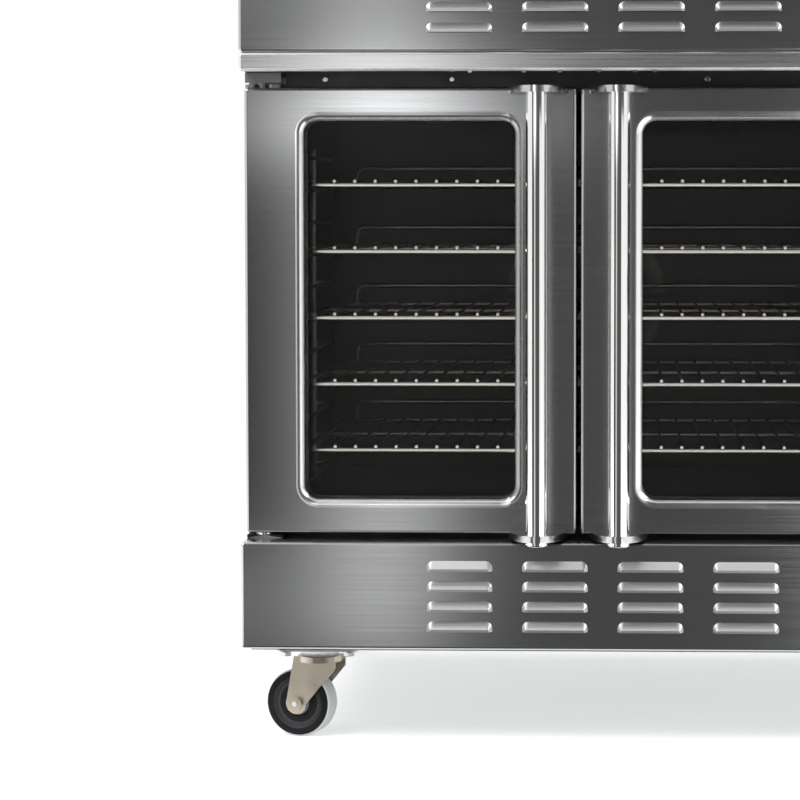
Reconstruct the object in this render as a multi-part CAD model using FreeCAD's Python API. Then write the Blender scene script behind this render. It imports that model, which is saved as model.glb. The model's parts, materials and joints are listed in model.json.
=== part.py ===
"""Double-deck gas convection oven on casters, built from folded sheet, wire and tube.

Millimetres, +Z up, the front faces -Y, origin on the floor under the middle of the oven.
Two identical decks stand on one base. Each deck has a louvred base panel, two glazed doors
with full-height bar handles, a control panel on the right, an oven with five wire racks,
and a blower with its motor behind a baffle.
"""

import FreeCAD
import Part
import math
import os

Vector = FreeCAD.Vector
X_AXIS = Vector(1, 0, 0)
Y_AXIS = Vector(0, 1, 0)
Z_AXIS = Vector(0, 0, 1)

# Oven cavity, the size that drives the doors and the body
OVEN_WIDTH = 737.0
OVEN_HEIGHT = 508.0
OVEN_DEPTH = 559.0
PLENUM_DEPTH = 103.0
LINER_SHEET = 2.0
SHAFT_PORT_RADIUS = 14.0

# Body sheet metal
SHEET = 1.5
FIT = 0.3
BACK_SPACE = 126.5
SIDE_RETURN = 14.0
EDGE_RADIUS = 4.0
RAIL_HEIGHT = 23.0
RAIL_RETURN = 30.0
FRAME_SHEET = 2.0

# Base and casters
CASTER_HEIGHT = 114.0
PLINTH_HEIGHT = 6.0
PLINTH_SETBACK = 8.0
PLINTH_FRONT_SETBACK = 36.0
PLINTH_SHEET = 2.0
CASTER_INSET_X = 87.0
CASTER_INSET_Y = 85.0
CASTER_TURN = -16.0
CASTER_TRAIL = 24.0
CASTER_PLATE = (100.0, 76.0, 4.0)
CASTER_HOLE_RADIUS = 4.5
CASTER_HOLE_INSET = 11.0
RACE_RADIUS = 27.0
RACE_HEIGHT = 9.0
KINGPIN_RADIUS = 6.0
FORK_SHEET = 3.0
FORK_CROWN_HEIGHT = 7.0
WHEEL_RADIUS = 42.0
WHEEL_WIDTH = 30.0
WHEEL_SIDE_GAP = 1.5
TREAD_RADIUS = 4.0
TYRE_DEPTH = 10.0
HUB_RADIUS = 14.0
HUB_RECESS = 4.0
AXLE_RADIUS = 5.0
AXLE_HEAD_RADIUS = 8.5
AXLE_HEAD_HEIGHT = 5.0
RUNNING_CLEARANCE = 0.05

# Louvred base panel
LOUVRE_PANEL_HEIGHT = 130.0
LOUVRE_COLUMNS = 5
LOUVRE_ROWS = 4
LOUVRE_COLUMN_PITCH = 115.0
LOUVRE_ROW_PITCH = 24.4
LOUVRE_FIRST_ROW = 23.0
LOUVRE_LENGTH = 79.0
LOUVRE_HEIGHT = 12.0
LOUVRE_CORNER = 8.0
LOUVRE_DEPTH = 9.0
LOUVRE_LIP = 3.0
LOUVRE_END_SLOPE = 4.0

# Doors
DOOR_SIDE_LAP = 38.0
DOOR_END_LAP = 17.25
DOOR_THICKNESS = 50.0
DOOR_RECESS = 45.0
DOOR_EDGE_GAP = 1.0
DOOR_GAP_BELOW = 6.5
DOOR_GAP_ABOVE = 18.0
MEETING_GAP = 5.0
DOOR_PLUG = 12.0
DOOR_PLUG_INSET = 25.0
DOOR_PLUG_MARGIN = 3.5
GASKET_SPACE = 9.0
GASKET_WIDTH = 12.0
GASKET_CORNER = 14.0

# Door window
WINDOW_HINGE_STILE = 72.0
WINDOW_HANDLE_STILE = 75.0
WINDOW_RAIL_BELOW = 41.5
WINDOW_RAIL_ABOVE = 39.0
WINDOW_CORNER = 17.0
LIP_WIDTH = 10.0
LIP_DEPTH = 6.0
GLASS_LAP = 10.0
GLASS_THICKNESS = 4.0
TUNNEL_WALL = 2.0

# Door hinges
HINGE_INSET = 21.5
HINGE_SETBACK = 12.0
HINGE_PIN_RADIUS = 5.0
HINGE_PIN_REACH = 18.0
HINGE_STILE_WIDTH = 26.0
HINGE_PLATE = 4.0
HINGE_PLATE_WIDTH = 45.0
HINGE_PLATE_NOSE = 10.0
HINGE_LIP_HEIGHT = 12.0
HINGE_WASHER_RADIUS = 10.0

# Door handles
HANDLE_OFFSET = 62.0
HANDLE_INSET = 46.5
HANDLE_BAR_RADIUS = 13.0
HANDLE_COLLAR = 2.0
HANDLE_FOOT_HALF_WIDTH = 36.0
HANDLE_FOOT_HEIGHT = 8.0
HANDLE_FOOT_DROP = 3.0
HANDLE_BAR_DROP = 8.5
HANDLE_END_RADIUS = 2.0

# Control panel and what it carries
CONTROL_GAP = 6.0
CONTROL_WIDTH = 170.0
KNOB_DROP = (250.0, 385.0)
KNOB_NAMES = ("thermostat_knob", "timer_knob")
KNOB_SKIRT_RADIUS = 27.0
KNOB_SKIRT_HEIGHT = 5.0
KNOB_RADIUS = 21.0
KNOB_HEIGHT = 22.0
KNOB_GRIP_WIDTH = 11.0
KNOB_GRIP_HEIGHT = 10.0
KNOB_SHAFT_RADIUS = 4.0
KNOB_SHAFT_LENGTH = 24.0
KNOB_LIFT = 0.8
CONTROL_BODY = 46.0
CONTROL_BODY_DEPTH = 32.0
SWITCH_DROP = 130.0
SWITCH_WIDTH = 22.0
SWITCH_HEIGHT = 30.0
SWITCH_PROUD = 4.0
SWITCH_DEPTH = 9.0
SWITCH_TILT = 8.0
SWITCH_CASE_WALL = 3.0
SWITCH_CASE_DEPTH = 24.0
SWITCH_PIVOT_RADIUS = 2.0
SWITCH_PIVOT_LENGTH = 2.0
SWITCH_GAP = 0.6
LENS_DROP = 72.0
LENS_SPACING = 40.0
LENS_RADIUS = 6.0
LENS_PROUD = 3.0

# Racks and their guides
RUNG_COUNT = 11
RUNG_FIRST = 30.0
RUNG_PITCH = 41.3
RUNG_RADIUS = 3.0
RUNG_STANDOFF = 22.0
RUNG_FRONT = 30.0
RUNG_REAR = 385.0
RUNG_BEND = 9.0
POST_WIDTH = 16.0
POST_THICKNESS = 3.0
POST_OVERRUN = 14.0
RACK_COUNT = 5
RACK_FIRST_RUNG = 1
RACK_RUNG_STEP = 2
RACK_FRONT = 24.0
RACK_DEPTH = 520.0
RACK_BAR_RADIUS = 3.0
RACK_CORNER = 14.0
RACK_WIRE_RADIUS = 2.0
RACK_WIRE_PITCH = 25.4
RACK_WELD = 0.5
RACK_STOP_HEIGHT = 26.0
RACK_STOP_INSET = 8.0
RACK_STOP_BEND = 12.0

# Blower, baffle and motor
BAFFLE_SHEET = 2.0
BAFFLE_SIDE_GAP = 34.0
BAFFLE_END_GAP = 24.0
BAFFLE_PORT_RADIUS = 112.0
BAFFLE_HUB_RADIUS = 34.0
BAFFLE_SPOKES = 8
BAFFLE_SPOKE_WIDTH = 9.0
BAFFLE_RINGS = 3
BAFFLE_RING_WIDTH = 6.0
BAFFLE_POST_RADIUS = 7.0
BAFFLE_POST_INSET = 30.0
WHEEL_FAN_RADIUS = 130.0
FAN_EYE_RADIUS = 100.0
FAN_DEPTH = 78.0
FAN_FRONT_GAP = 8.0
FAN_SHEET = 2.0
FAN_BLADES = 28
FAN_BLADE_DEPTH = 22.0
FAN_BLADE_TURN = 35.0
FAN_HUB_RADIUS = 26.0
FAN_HUB_LENGTH = 30.0
FAN_SHAFT_RADIUS = 8.0
FAN_SHAFT_GRIP = 35.0
MOTOR_RADIUS = 72.0
MOTOR_LENGTH = 86.0
MOTOR_NECK_RADIUS = 34.0
MOTOR_NECK = 12.0
MOTOR_FLANGE = 170.0
MOTOR_FLANGE_SHEET = 4.0
MOTOR_RIBS = 24
MOTOR_RIB_DEPTH = 3.0
MOTOR_RIB_WIDTH = 5.0
MOTOR_RIB_END = 12.0

# Insulation, burners, gas inlet, flue and lamps
INSULATION = 30.0
BURNER_RADIUS = 22.0
BURNER_HEIGHT = 62.0
BURNER_PITCH = 220.0
BURNER_FRONT = 80.0
BURNER_COUNT = 3
MANIFOLD_RADIUS = 16.8
MANIFOLD_BACK = 70.0
GAS_PIPE_RADIUS = 13.35
GAS_NIPPLE_RADIUS = 12.5
GAS_UNION = 46.0
PIPE_WALL = 2.5
MANIFOLD_OVERRUN = 14.0
GAS_INLET_OFFSET = 330.0
GAS_INLET_REACH = 60.0
FLUE_WIDTH = 260.0
FLUE_DEPTH = 50.0
FLUE_HEIGHT = 140.0
FLUE_DROP = 24.0
FLUE_FLANGE = 16.0
FLUE_PORT_MARGIN = 22.0
VENT_COUNT = 9
VENT_WIDTH = 8.0
VENT_LENGTH = 90.0
VENT_PITCH = 20.0
LAMP_OFFSET = 190.0
LAMP_SETBACK = 150.0
LAMP_RADIUS = 34.0
LAMP_RIM = 5.0
LAMP_DOME = 20.0

# Worked-out planes of the body
DECKS = ("lower", "upper")
SIDES = {"left": -1, "right": 1}
DOOR_HEIGHT = OVEN_HEIGHT + 2 * DOOR_END_LAP
DOORS_WIDTH = OVEN_WIDTH + 2 * DOOR_SIDE_LAP
DOOR_WIDTH = (DOORS_WIDTH - MEETING_GAP) / 2
BODY_WIDTH = DOOR_EDGE_GAP + DOORS_WIDTH + CONTROL_GAP + CONTROL_WIDTH
LEFT = -BODY_WIDTH / 2
RIGHT = BODY_WIDTH / 2
OVEN_X = LEFT + DOOR_EDGE_GAP + DOORS_WIDTH / 2
CONTROL_LEFT = RIGHT - CONTROL_WIDTH
CONTROL_X = (CONTROL_LEFT + RIGHT) / 2

FRAME_SETBACK = DOOR_RECESS + DOOR_THICKNESS + GASKET_SPACE
BODY_DEPTH = (FRAME_SETBACK + FRAME_SHEET + OVEN_DEPTH + BAFFLE_SHEET + PLENUM_DEPTH + LINER_SHEET
              + BACK_SPACE)
HANDLE_REACH = HANDLE_OFFSET + HANDLE_BAR_RADIUS + HANDLE_COLLAR
FRONT = (HANDLE_REACH - DOOR_RECESS - BODY_DEPTH - GAS_INLET_REACH) / 2
BACK = FRONT + BODY_DEPTH
DOOR_FACE = FRONT + DOOR_RECESS
DOOR_BACK = DOOR_FACE + DOOR_THICKNESS
DOOR_FLANGE = DOOR_BACK - DOOR_PLUG
FRAME_FACE = FRONT + FRAME_SETBACK
OVEN_FRONT = FRAME_FACE + FRAME_SHEET
BAFFLE_FACE = OVEN_FRONT + OVEN_DEPTH
OVEN_BACK = BAFFLE_FACE + BAFFLE_SHEET + PLENUM_DEPTH
LINER_BACK = OVEN_BACK + LINER_SHEET
HINGE_Y = DOOR_FACE + HINGE_SETBACK
LIP_RADIUS = (LIP_WIDTH ** 2 + LIP_DEPTH ** 2) / (2 * LIP_DEPTH)
LIP_TURN = math.asin(LIP_WIDTH / LIP_RADIUS)
GLASS_FACE = DOOR_FACE + LIP_RADIUS - (LIP_RADIUS - SHEET) * math.cos(LIP_TURN) + FIT

BASE_Z = CASTER_HEIGHT + PLINTH_HEIGHT
DECK_HEIGHT = LOUVRE_PANEL_HEIGHT + DOOR_GAP_BELOW + DOOR_HEIGHT + DOOR_GAP_ABOVE + RAIL_HEIGHT
RACK_HALF_WIDTH = OVEN_WIDTH / 2 - RUNG_STANDOFF
RACK_LIFT = RUNG_RADIUS + RACK_BAR_RADIUS + FIT


class Deck:
    """The heights of one deck, counted from its base."""

    def __init__(self, number):
        self.base = BASE_Z + number * DECK_HEIGHT
        self.ledge = self.base + LOUVRE_PANEL_HEIGHT
        self.door_bottom = self.ledge + DOOR_GAP_BELOW
        self.door_top = self.door_bottom + DOOR_HEIGHT
        self.rail = self.door_top + DOOR_GAP_ABOVE
        self.top = self.rail + RAIL_HEIGHT
        self.floor = self.door_bottom + DOOR_END_LAP
        self.ceiling = self.floor + OVEN_HEIGHT
        self.fan = (self.floor + self.ceiling) / 2


# Shape helpers

def span(first, second):
    return min(first, second), max(first, second)


def block(x_span, y_span, z_span):
    size = [high - low for low, high in (x_span, y_span, z_span)]
    return Part.makeBox(*size, Vector(x_span[0], y_span[0], z_span[0]))


def rod(start, end, radius):
    return Part.makeCylinder(radius, (end - start).Length, start, end - start)


def rounded_outline(x_span, z_span, radius, y):
    """A closed upright outline with round corners, square to the Y axis."""
    (x0, x1), (z0, z1) = x_span, z_span
    slack = radius * (1 - math.sqrt(0.5))
    corners = [(x1, z0, -1, 1), (x1, z1, -1, -1), (x0, z1, 1, -1), (x0, z0, 1, 1)]
    arcs = []
    for turn, (x, z, inward_x, inward_z) in enumerate(corners):
        beside = Vector(x + inward_x * radius, y, z)
        above = Vector(x, y, z + inward_z * radius)
        middle = Vector(x + inward_x * slack, y, z + inward_z * slack)
        start, end = (beside, above) if turn % 2 == 0 else (above, beside)
        arcs.append((start, middle, end))
    edges = []
    for arc, following in zip(arcs, arcs[1:] + arcs[:1]):
        edges.append(Part.Arc(*arc).toShape())
        edges.append(Part.LineSegment(arc[2], following[0]).toShape())
    return Part.Wire(edges)


def rounded_prism(x_span, z_span, radius, y_span):
    outline = rounded_outline(x_span, z_span, radius, y_span[0])
    return Part.Face(outline).extrude(Vector(0, y_span[1] - y_span[0], 0))


def grown(limits, margin):
    return limits[0] - margin, limits[1] + margin


def bent_wire(points, bend, radius):
    """A round wire along straight runs joined by tangent arcs."""
    edges = []
    start = points[0]
    for before, corner, after in zip(points, points[1:], points[2:]):
        back = (before - corner).normalize()
        onward = (after - corner).normalize()
        half_turn = back.getAngle(onward) / 2
        reach = bend / math.tan(half_turn)
        bisector = (back + onward).normalize()
        middle = corner + bisector * (bend / math.sin(half_turn) - bend)
        edges.append(Part.LineSegment(start, corner + back * reach).toShape())
        edges.append(Part.Arc(corner + back * reach, middle, corner + onward * reach).toShape())
        start = corner + onward * reach
    edges.append(Part.LineSegment(start, points[-1]).toShape())
    path = Part.Wire(edges)
    section = Part.Wire(Part.makeCircle(radius, points[0], points[1] - points[0]))
    return path.makePipeShell([section], True, False)


def fronted_block(x_span, y_span, z_span, radius):
    """A block whose edges are rounded everywhere but at the back."""
    body = block(x_span, y_span, z_span)
    edges = [e for e in body.Edges if any(v.Y < y_span[1] - radius for v in e.Vertexes)]
    return body.makeFillet(radius, edges)


def folded_pan(x_span, y_span, z_span, radius):
    """A folded sheet pan, open at the back."""
    outer = fronted_block(x_span, y_span, z_span, radius)
    inner_y = (y_span[0] + SHEET, y_span[1] + radius)
    inner = fronted_block(grown(x_span, -SHEET), inner_y, grown(z_span, -SHEET), radius - SHEET)
    return outer.cut(inner)


# Base and casters

def base_pan():
    """A shallow tray under the body, with a rim that the panels stand on."""
    x_span = grown((LEFT, RIGHT), -PLINTH_SETBACK)
    y_span = (FRONT + PLINTH_FRONT_SETBACK, BACK - PLINTH_SETBACK)
    tray = block(x_span, y_span, (CASTER_HEIGHT, BASE_Z))
    hollow = block(grown(x_span, -SIDE_RETURN), grown(y_span, -SIDE_RETURN),
                   (CASTER_HEIGHT + PLINTH_SHEET, BASE_Z))
    return tray.cut(hollow)


def caster_places():
    x = RIGHT - CASTER_INSET_X
    return {
        "front_left": Vector(-x, FRONT + CASTER_INSET_Y, 0),
        "front_right": Vector(x, FRONT + CASTER_INSET_Y, 0),
        "rear_left": Vector(-x, BACK - CASTER_INSET_Y, 0),
        "rear_right": Vector(x, BACK - CASTER_INSET_Y, 0),
    }


def caster_plate(place):
    """Top plate with its bolt holes and the pressed race that the fork turns in."""
    length, width, thickness = CASTER_PLATE
    underside = CASTER_HEIGHT - thickness
    plate = block((-length / 2, length / 2), (-width / 2, width / 2), (underside, CASTER_HEIGHT))
    upright = [e for e in plate.Edges if e.Vertexes[0].Z != e.Vertexes[1].Z]
    plate = plate.makeFillet(CASTER_HOLE_INSET - CASTER_HOLE_RADIUS, upright)
    race = Part.makeCone(RACE_RADIUS - RACE_HEIGHT / 2, RACE_RADIUS, RACE_HEIGHT,
                         Vector(0, 0, underside - RACE_HEIGHT))
    plate = plate.fuse(race)
    bore = Part.makeCylinder(KINGPIN_RADIUS + RUNNING_CLEARANCE, CASTER_HEIGHT)
    holes = []
    for side_x in (-1, 1):
        for side_y in (-1, 1):
            spot = Vector(side_x * (length / 2 - CASTER_HOLE_INSET),
                          side_y * (width / 2 - CASTER_HOLE_INSET), 0)
            holes.append(Part.makeCylinder(CASTER_HOLE_RADIUS, CASTER_HEIGHT, spot))
    return plate.cut([bore] + holes).removeSplitter().translated(place)


def turned(shape, place):
    """Swings a caster piece to its rest direction and moves it under the oven."""
    result = shape.copy()
    result.rotate(Vector(), Z_AXIS, CASTER_TURN)
    result.translate(place)
    return result


def fork_leg(side):
    """One pressed cheek: wide under the crown, tapering to the axle."""
    inner = side * (WHEEL_WIDTH / 2 + WHEEL_SIDE_GAP)
    outer = inner + side * FORK_SHEET
    crown = CASTER_HEIGHT - CASTER_PLATE[2] - RACE_HEIGHT - FIT
    boss = AXLE_RADIUS + AXLE_HEAD_RADIUS
    outline = [
        Vector(-RACE_RADIUS, inner, crown),
        Vector(RACE_RADIUS, inner, crown),
        Vector(RACE_RADIUS, inner, crown - 2 * FORK_CROWN_HEIGHT),
        Vector(-CASTER_TRAIL + boss, inner, WHEEL_RADIUS),
        Vector(-CASTER_TRAIL - boss, inner, WHEEL_RADIUS),
    ]
    cheek = Part.Face(Part.makePolygon(outline + outline[:1])).extrude(Vector(0, outer - inner, 0))
    end = rod(Vector(-CASTER_TRAIL, inner, WHEEL_RADIUS), Vector(-CASTER_TRAIL, outer, WHEEL_RADIUS), boss)
    return cheek.fuse(end)


def caster_fork(place):
    """Crown, kingpin and two cheeks in one piece, and the axle bolt with its heads."""
    crown_top = CASTER_HEIGHT - CASTER_PLATE[2] - RACE_HEIGHT - FIT
    half_span = WHEEL_WIDTH / 2 + WHEEL_SIDE_GAP + FORK_SHEET
    crown = Part.makeCylinder(RACE_RADIUS, FORK_CROWN_HEIGHT, Vector(0, 0, crown_top - FORK_CROWN_HEIGHT))
    kingpin = Part.makeCylinder(KINGPIN_RADIUS, CASTER_HEIGHT - FIT - crown_top, Vector(0, 0, crown_top))
    axle_start = Vector(-CASTER_TRAIL, -half_span, WHEEL_RADIUS)
    axle_end = Vector(-CASTER_TRAIL, half_span, WHEEL_RADIUS)
    bore = rod(axle_start, axle_end, AXLE_RADIUS)
    yoke = crown.fuse([kingpin, fork_leg(-1), fork_leg(1)]).removeSplitter().cut(bore)
    heads = []
    for end, outward in ((axle_start, -1), (axle_end, 1)):
        head = rod(end, end + Vector(0, outward * AXLE_HEAD_HEIGHT, 0), AXLE_HEAD_RADIUS)
        heads.append(head)
    axle = bore.fuse(heads).removeSplitter()
    return [turned(yoke, place), turned(axle, place)]


def caster_wheel(place):
    """Tyre with a rounded tread on a dished wheel, turned about the axle."""
    half = WHEEL_WIDTH / 2
    bore = AXLE_RADIUS + RUNNING_CLEARANCE
    rim = WHEEL_RADIUS - TYRE_DEPTH
    slack = TREAD_RADIUS * (1 - math.sqrt(0.5))

    def at(radius, y):
        return Vector(-CASTER_TRAIL + radius, y, WHEEL_RADIUS)

    edges = []
    for side in (-1, 1):
        face = side * half
        dish = side * (half - HUB_RECESS)
        edges += [
            Part.LineSegment(at(bore, 0), at(bore, face)).toShape(),
            Part.LineSegment(at(bore, face), at(HUB_RADIUS, face)).toShape(),
            Part.LineSegment(at(HUB_RADIUS, face), at(HUB_RADIUS + HUB_RECESS, dish)).toShape(),
            Part.LineSegment(at(HUB_RADIUS + HUB_RECESS, dish), at(rim - HUB_RECESS, dish)).toShape(),
            Part.LineSegment(at(rim - HUB_RECESS, dish), at(rim, face)).toShape(),
            Part.LineSegment(at(rim, face), at(WHEEL_RADIUS - TREAD_RADIUS, face)).toShape(),
            Part.Arc(at(WHEEL_RADIUS - TREAD_RADIUS, face),
                     at(WHEEL_RADIUS - slack, face - side * slack),
                     at(WHEEL_RADIUS, face - side * TREAD_RADIUS)).toShape(),
        ]
    tread = half - TREAD_RADIUS
    edges.append(Part.LineSegment(at(WHEEL_RADIUS, -tread), at(WHEEL_RADIUS, tread)).toShape())
    profile = Part.Face(Part.Wire(Part.__sortEdges__(edges)))
    return turned(profile.revolve(at(0, 0), Y_AXIS, 360), place)


# Body panels

def louvre_hood():
    """One pressed louvre at the origin: its sloping hood, open below, and the space inside it."""
    foot_x = (-LOUVRE_LENGTH / 2, LOUVRE_LENGTH / 2)
    foot_z = (-LOUVRE_HEIGHT, LOUVRE_HEIGHT)
    foot = rounded_outline(foot_x, foot_z, LOUVRE_CORNER, 0)
    rim = rounded_outline(grown(foot_x, -LOUVRE_END_SLOPE), (-LOUVRE_LIP, LOUVRE_LIP), LOUVRE_LIP / 2,
                          -LOUVRE_DEPTH)
    outside = Part.makeLoft([foot, rim], True, True)
    inside = outside.translated(Y_AXIS * SHEET)
    clip = block(grown(foot_x, SHEET), (-LOUVRE_DEPTH, SHEET), (0, LOUVRE_HEIGHT))
    return outside.cut(inside).common(clip), inside.common(clip)


def louvre_panel(deck):
    """Folded front pan of the base compartment, whose top is the ledge under the doors."""
    pan = folded_pan((LEFT, RIGHT), (FRONT, FRAME_FACE), (deck.base, deck.ledge), EDGE_RADIUS)
    hood, slot = louvre_hood()
    hoods, slots = [], []
    for column in range(LOUVRE_COLUMNS):
        for row in range(LOUVRE_ROWS):
            spot = Vector((column - (LOUVRE_COLUMNS - 1) / 2) * LOUVRE_COLUMN_PITCH, FRONT,
                          deck.base + LOUVRE_FIRST_ROW + row * LOUVRE_ROW_PITCH)
            hoods.append(hood.translated(spot))
            slots.append(slot.translated(spot))
    return pan.cut(slots).fuse(hoods).removeSplitter()


def side_panel(deck, side):
    """Flat outer side with folded returns at the bottom and the back."""
    outer = side * RIGHT
    inner = outer - side * SHEET
    fold = outer - side * SIDE_RETURN
    sheet = block(span(outer, inner), (FRAME_FACE, BACK - SHEET), (deck.base, deck.rail))
    foot = block(span(inner, fold), (FRAME_FACE, BACK - SHEET), (deck.base, deck.base + SHEET))
    rear = block(span(inner, fold), (BACK - 2 * SHEET, BACK - SHEET), (deck.base, deck.rail))
    return sheet.fuse([foot, rear]).removeSplitter()


def top_panel(deck):
    """Deck top with a rounded front rail, which folds back underneath."""
    z_span = (deck.rail, deck.top)
    outer = fronted_block((LEFT, RIGHT), (FRONT, BACK), z_span, EDGE_RADIUS)
    inner = block(grown((LEFT, RIGHT), -SHEET), grown((FRONT, BACK), -SHEET),
                  (deck.rail + SHEET, deck.top - SHEET))
    mouth = block(grown((LEFT, RIGHT), -SHEET), (FRONT + RAIL_RETURN, BACK - SHEET),
                  (deck.rail, deck.rail + SHEET))
    return outer.cut([inner, mouth])


def flue_span(deck):
    top = deck.rail - FLUE_DROP
    return (OVEN_X - FLUE_WIDTH / 2, OVEN_X + FLUE_WIDTH / 2), (top - FLUE_HEIGHT, top)


def gas_inlet(deck):
    return Vector(OVEN_X + GAS_INLET_OFFSET, BACK, deck.base + BURNER_HEIGHT)


def back_panel(deck):
    """Rear sheet with the flue port, the gas pipe hole and the motor vents."""
    sheet = block((LEFT, RIGHT), (BACK - SHEET, BACK), (deck.base, deck.rail))
    flue_x, flue_z = flue_span(deck)
    port = block(grown(flue_x, -FLUE_PORT_MARGIN), (BACK - SHEET, BACK), grown(flue_z, -FLUE_PORT_MARGIN))
    inlet = gas_inlet(deck)
    hole = rod(inlet - Y_AXIS * SHEET, inlet, GAS_NIPPLE_RADIUS + FIT)
    slots = []
    for number in range(VENT_COUNT):
        x = OVEN_X + (number - (VENT_COUNT - 1) / 2) * VENT_PITCH
        slots.append(rounded_prism((x - VENT_WIDTH / 2, x + VENT_WIDTH / 2),
                                   (deck.fan - VENT_LENGTH / 2, deck.fan + VENT_LENGTH / 2),
                                   VENT_WIDTH / 2 - SHEET, (BACK - SHEET, BACK)))
    return sheet.cut([port, hole] + slots)


def front_frame(deck):
    """The face frame that the doors close on: two rails and two stiles around the oven mouth."""
    y_span = (FRAME_FACE, OVEN_FRONT)
    x_span = grown((LEFT, RIGHT), -SHEET)
    mouth = (OVEN_X - OVEN_WIDTH / 2, OVEN_X + OVEN_WIDTH / 2)
    return [
        block(x_span, y_span, (deck.ceiling, deck.top - SHEET)),
        block(x_span, y_span, (deck.ledge - SHEET, deck.floor)),
        block((x_span[0], mouth[0]), y_span, (deck.floor, deck.ceiling)),
        block((mouth[1], x_span[1]), y_span, (deck.floor, deck.ceiling)),
    ]


def cavity_liner(deck):
    """Five welded enamelled sheets; the back one has the port for the blower shaft."""
    x_span = (OVEN_X - OVEN_WIDTH / 2, OVEN_X + OVEN_WIDTH / 2)
    z_span = (deck.floor, deck.ceiling)
    y_span = (OVEN_FRONT, OVEN_BACK)
    wide = grown(x_span, LINER_SHEET)
    centre = Vector(OVEN_X, OVEN_BACK, deck.fan)
    back = block(wide, (OVEN_BACK, LINER_BACK), grown(z_span, LINER_SHEET))
    return [
        block((wide[0], x_span[0]), y_span, z_span),
        block((x_span[1], wide[1]), y_span, z_span),
        block(wide, y_span, (z_span[0] - LINER_SHEET, z_span[0])),
        block(wide, y_span, (z_span[1], z_span[1] + LINER_SHEET)),
        back.cut(rod(centre, centre + Y_AXIS * LINER_SHEET, SHAFT_PORT_RADIUS)),
    ]


def insulation(deck):
    """Slabs of fibre wool around the four walls of the liner."""
    inner_x = grown((OVEN_X - OVEN_WIDTH / 2, OVEN_X + OVEN_WIDTH / 2), LINER_SHEET + FIT)
    inner_z = grown((deck.floor, deck.ceiling), LINER_SHEET + FIT)
    outer_x = grown(inner_x, INSULATION)
    outer_z = grown(inner_z, INSULATION)
    y_span = grown((OVEN_FRONT, OVEN_BACK), -FIT)
    return [
        block((outer_x[0], inner_x[0]), y_span, inner_z),
        block((inner_x[1], outer_x[1]), y_span, inner_z),
        block(outer_x, y_span, (outer_z[0], inner_z[0])),
        block(outer_x, y_span, (inner_z[1], outer_z[1])),
    ]


# Racks and guides

def rung_height(deck, number):
    return deck.floor + RUNG_FIRST + number * RUNG_PITCH


def rack_guide(deck, side):
    """Two flat posts on the oven wall and the bent wire rungs that they carry."""
    wall = OVEN_X + side * OVEN_WIDTH / 2
    face = wall - side * POST_THICKNESS
    rail = wall - side * RUNG_STANDOFF
    z_span = (rung_height(deck, 0) - POST_OVERRUN, rung_height(deck, RUNG_COUNT - 1) + POST_OVERRUN)
    ends = (OVEN_FRONT + RUNG_FRONT, OVEN_FRONT + RUNG_REAR)
    solids = []
    for y in ends:
        solids.append(block(span(wall, face), (y - POST_WIDTH / 2, y + POST_WIDTH / 2), z_span))
    route = [(face, ends[0]), (rail, ends[0]), (rail, ends[1]), (face, ends[1])]
    rung = bent_wire([Vector(x, y, 0) for x, y in route], RUNG_BEND, RUNG_RADIUS)
    for number in range(RUNG_COUNT):
        solids.append(rung.translated(Vector(0, 0, rung_height(deck, number))))
    return solids


def wire_rack():
    """A wire rack at height zero: a bent frame, cross bars, close wires and a raised rear stop."""
    front = OVEN_FRONT + RACK_FRONT
    rear = front + RACK_DEPTH
    x0, x1 = OVEN_X - RACK_HALF_WIDTH, OVEN_X + RACK_HALF_WIDTH
    middle = (front + rear) / 2
    frame_route = [(OVEN_X, front), (x1, front), (x1, rear), (x0, rear), (x0, front), (OVEN_X, front)]
    frame = bent_wire([Vector(x, y, 0) for x, y in frame_route], RACK_CORNER, RACK_BAR_RADIUS)
    bar = rod(Vector(x0, middle, 0), Vector(x1, middle, 0), RACK_BAR_RADIUS)
    wires = []
    wire_z = RACK_BAR_RADIUS + RACK_WIRE_RADIUS - RACK_WELD
    wire_count = int((2 * RACK_HALF_WIDTH - 2 * RACK_CORNER) / RACK_WIRE_PITCH) + 1
    for number in range(wire_count):
        x = OVEN_X + (number - (wire_count - 1) / 2) * RACK_WIRE_PITCH
        wires.append(rod(Vector(x, front - RACK_BAR_RADIUS, wire_z), Vector(x, rear, wire_z),
                         RACK_WIRE_RADIUS))
    grid = frame.fuse([bar] + wires).removeSplitter()
    foot = RACK_BAR_RADIUS
    peak = RACK_STOP_HEIGHT
    left, right = x0 + RACK_CORNER + RACK_STOP_INSET, x1 - RACK_CORNER - RACK_STOP_INSET
    stop_route = [(left, foot), (left, peak), (right, peak), (right, foot)]
    stop_y = rear + RACK_WIRE_RADIUS
    stop = bent_wire([Vector(x, stop_y, z) for x, z in stop_route], RACK_STOP_BEND, RACK_BAR_RADIUS)
    return [grid, stop]


# Blower

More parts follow.
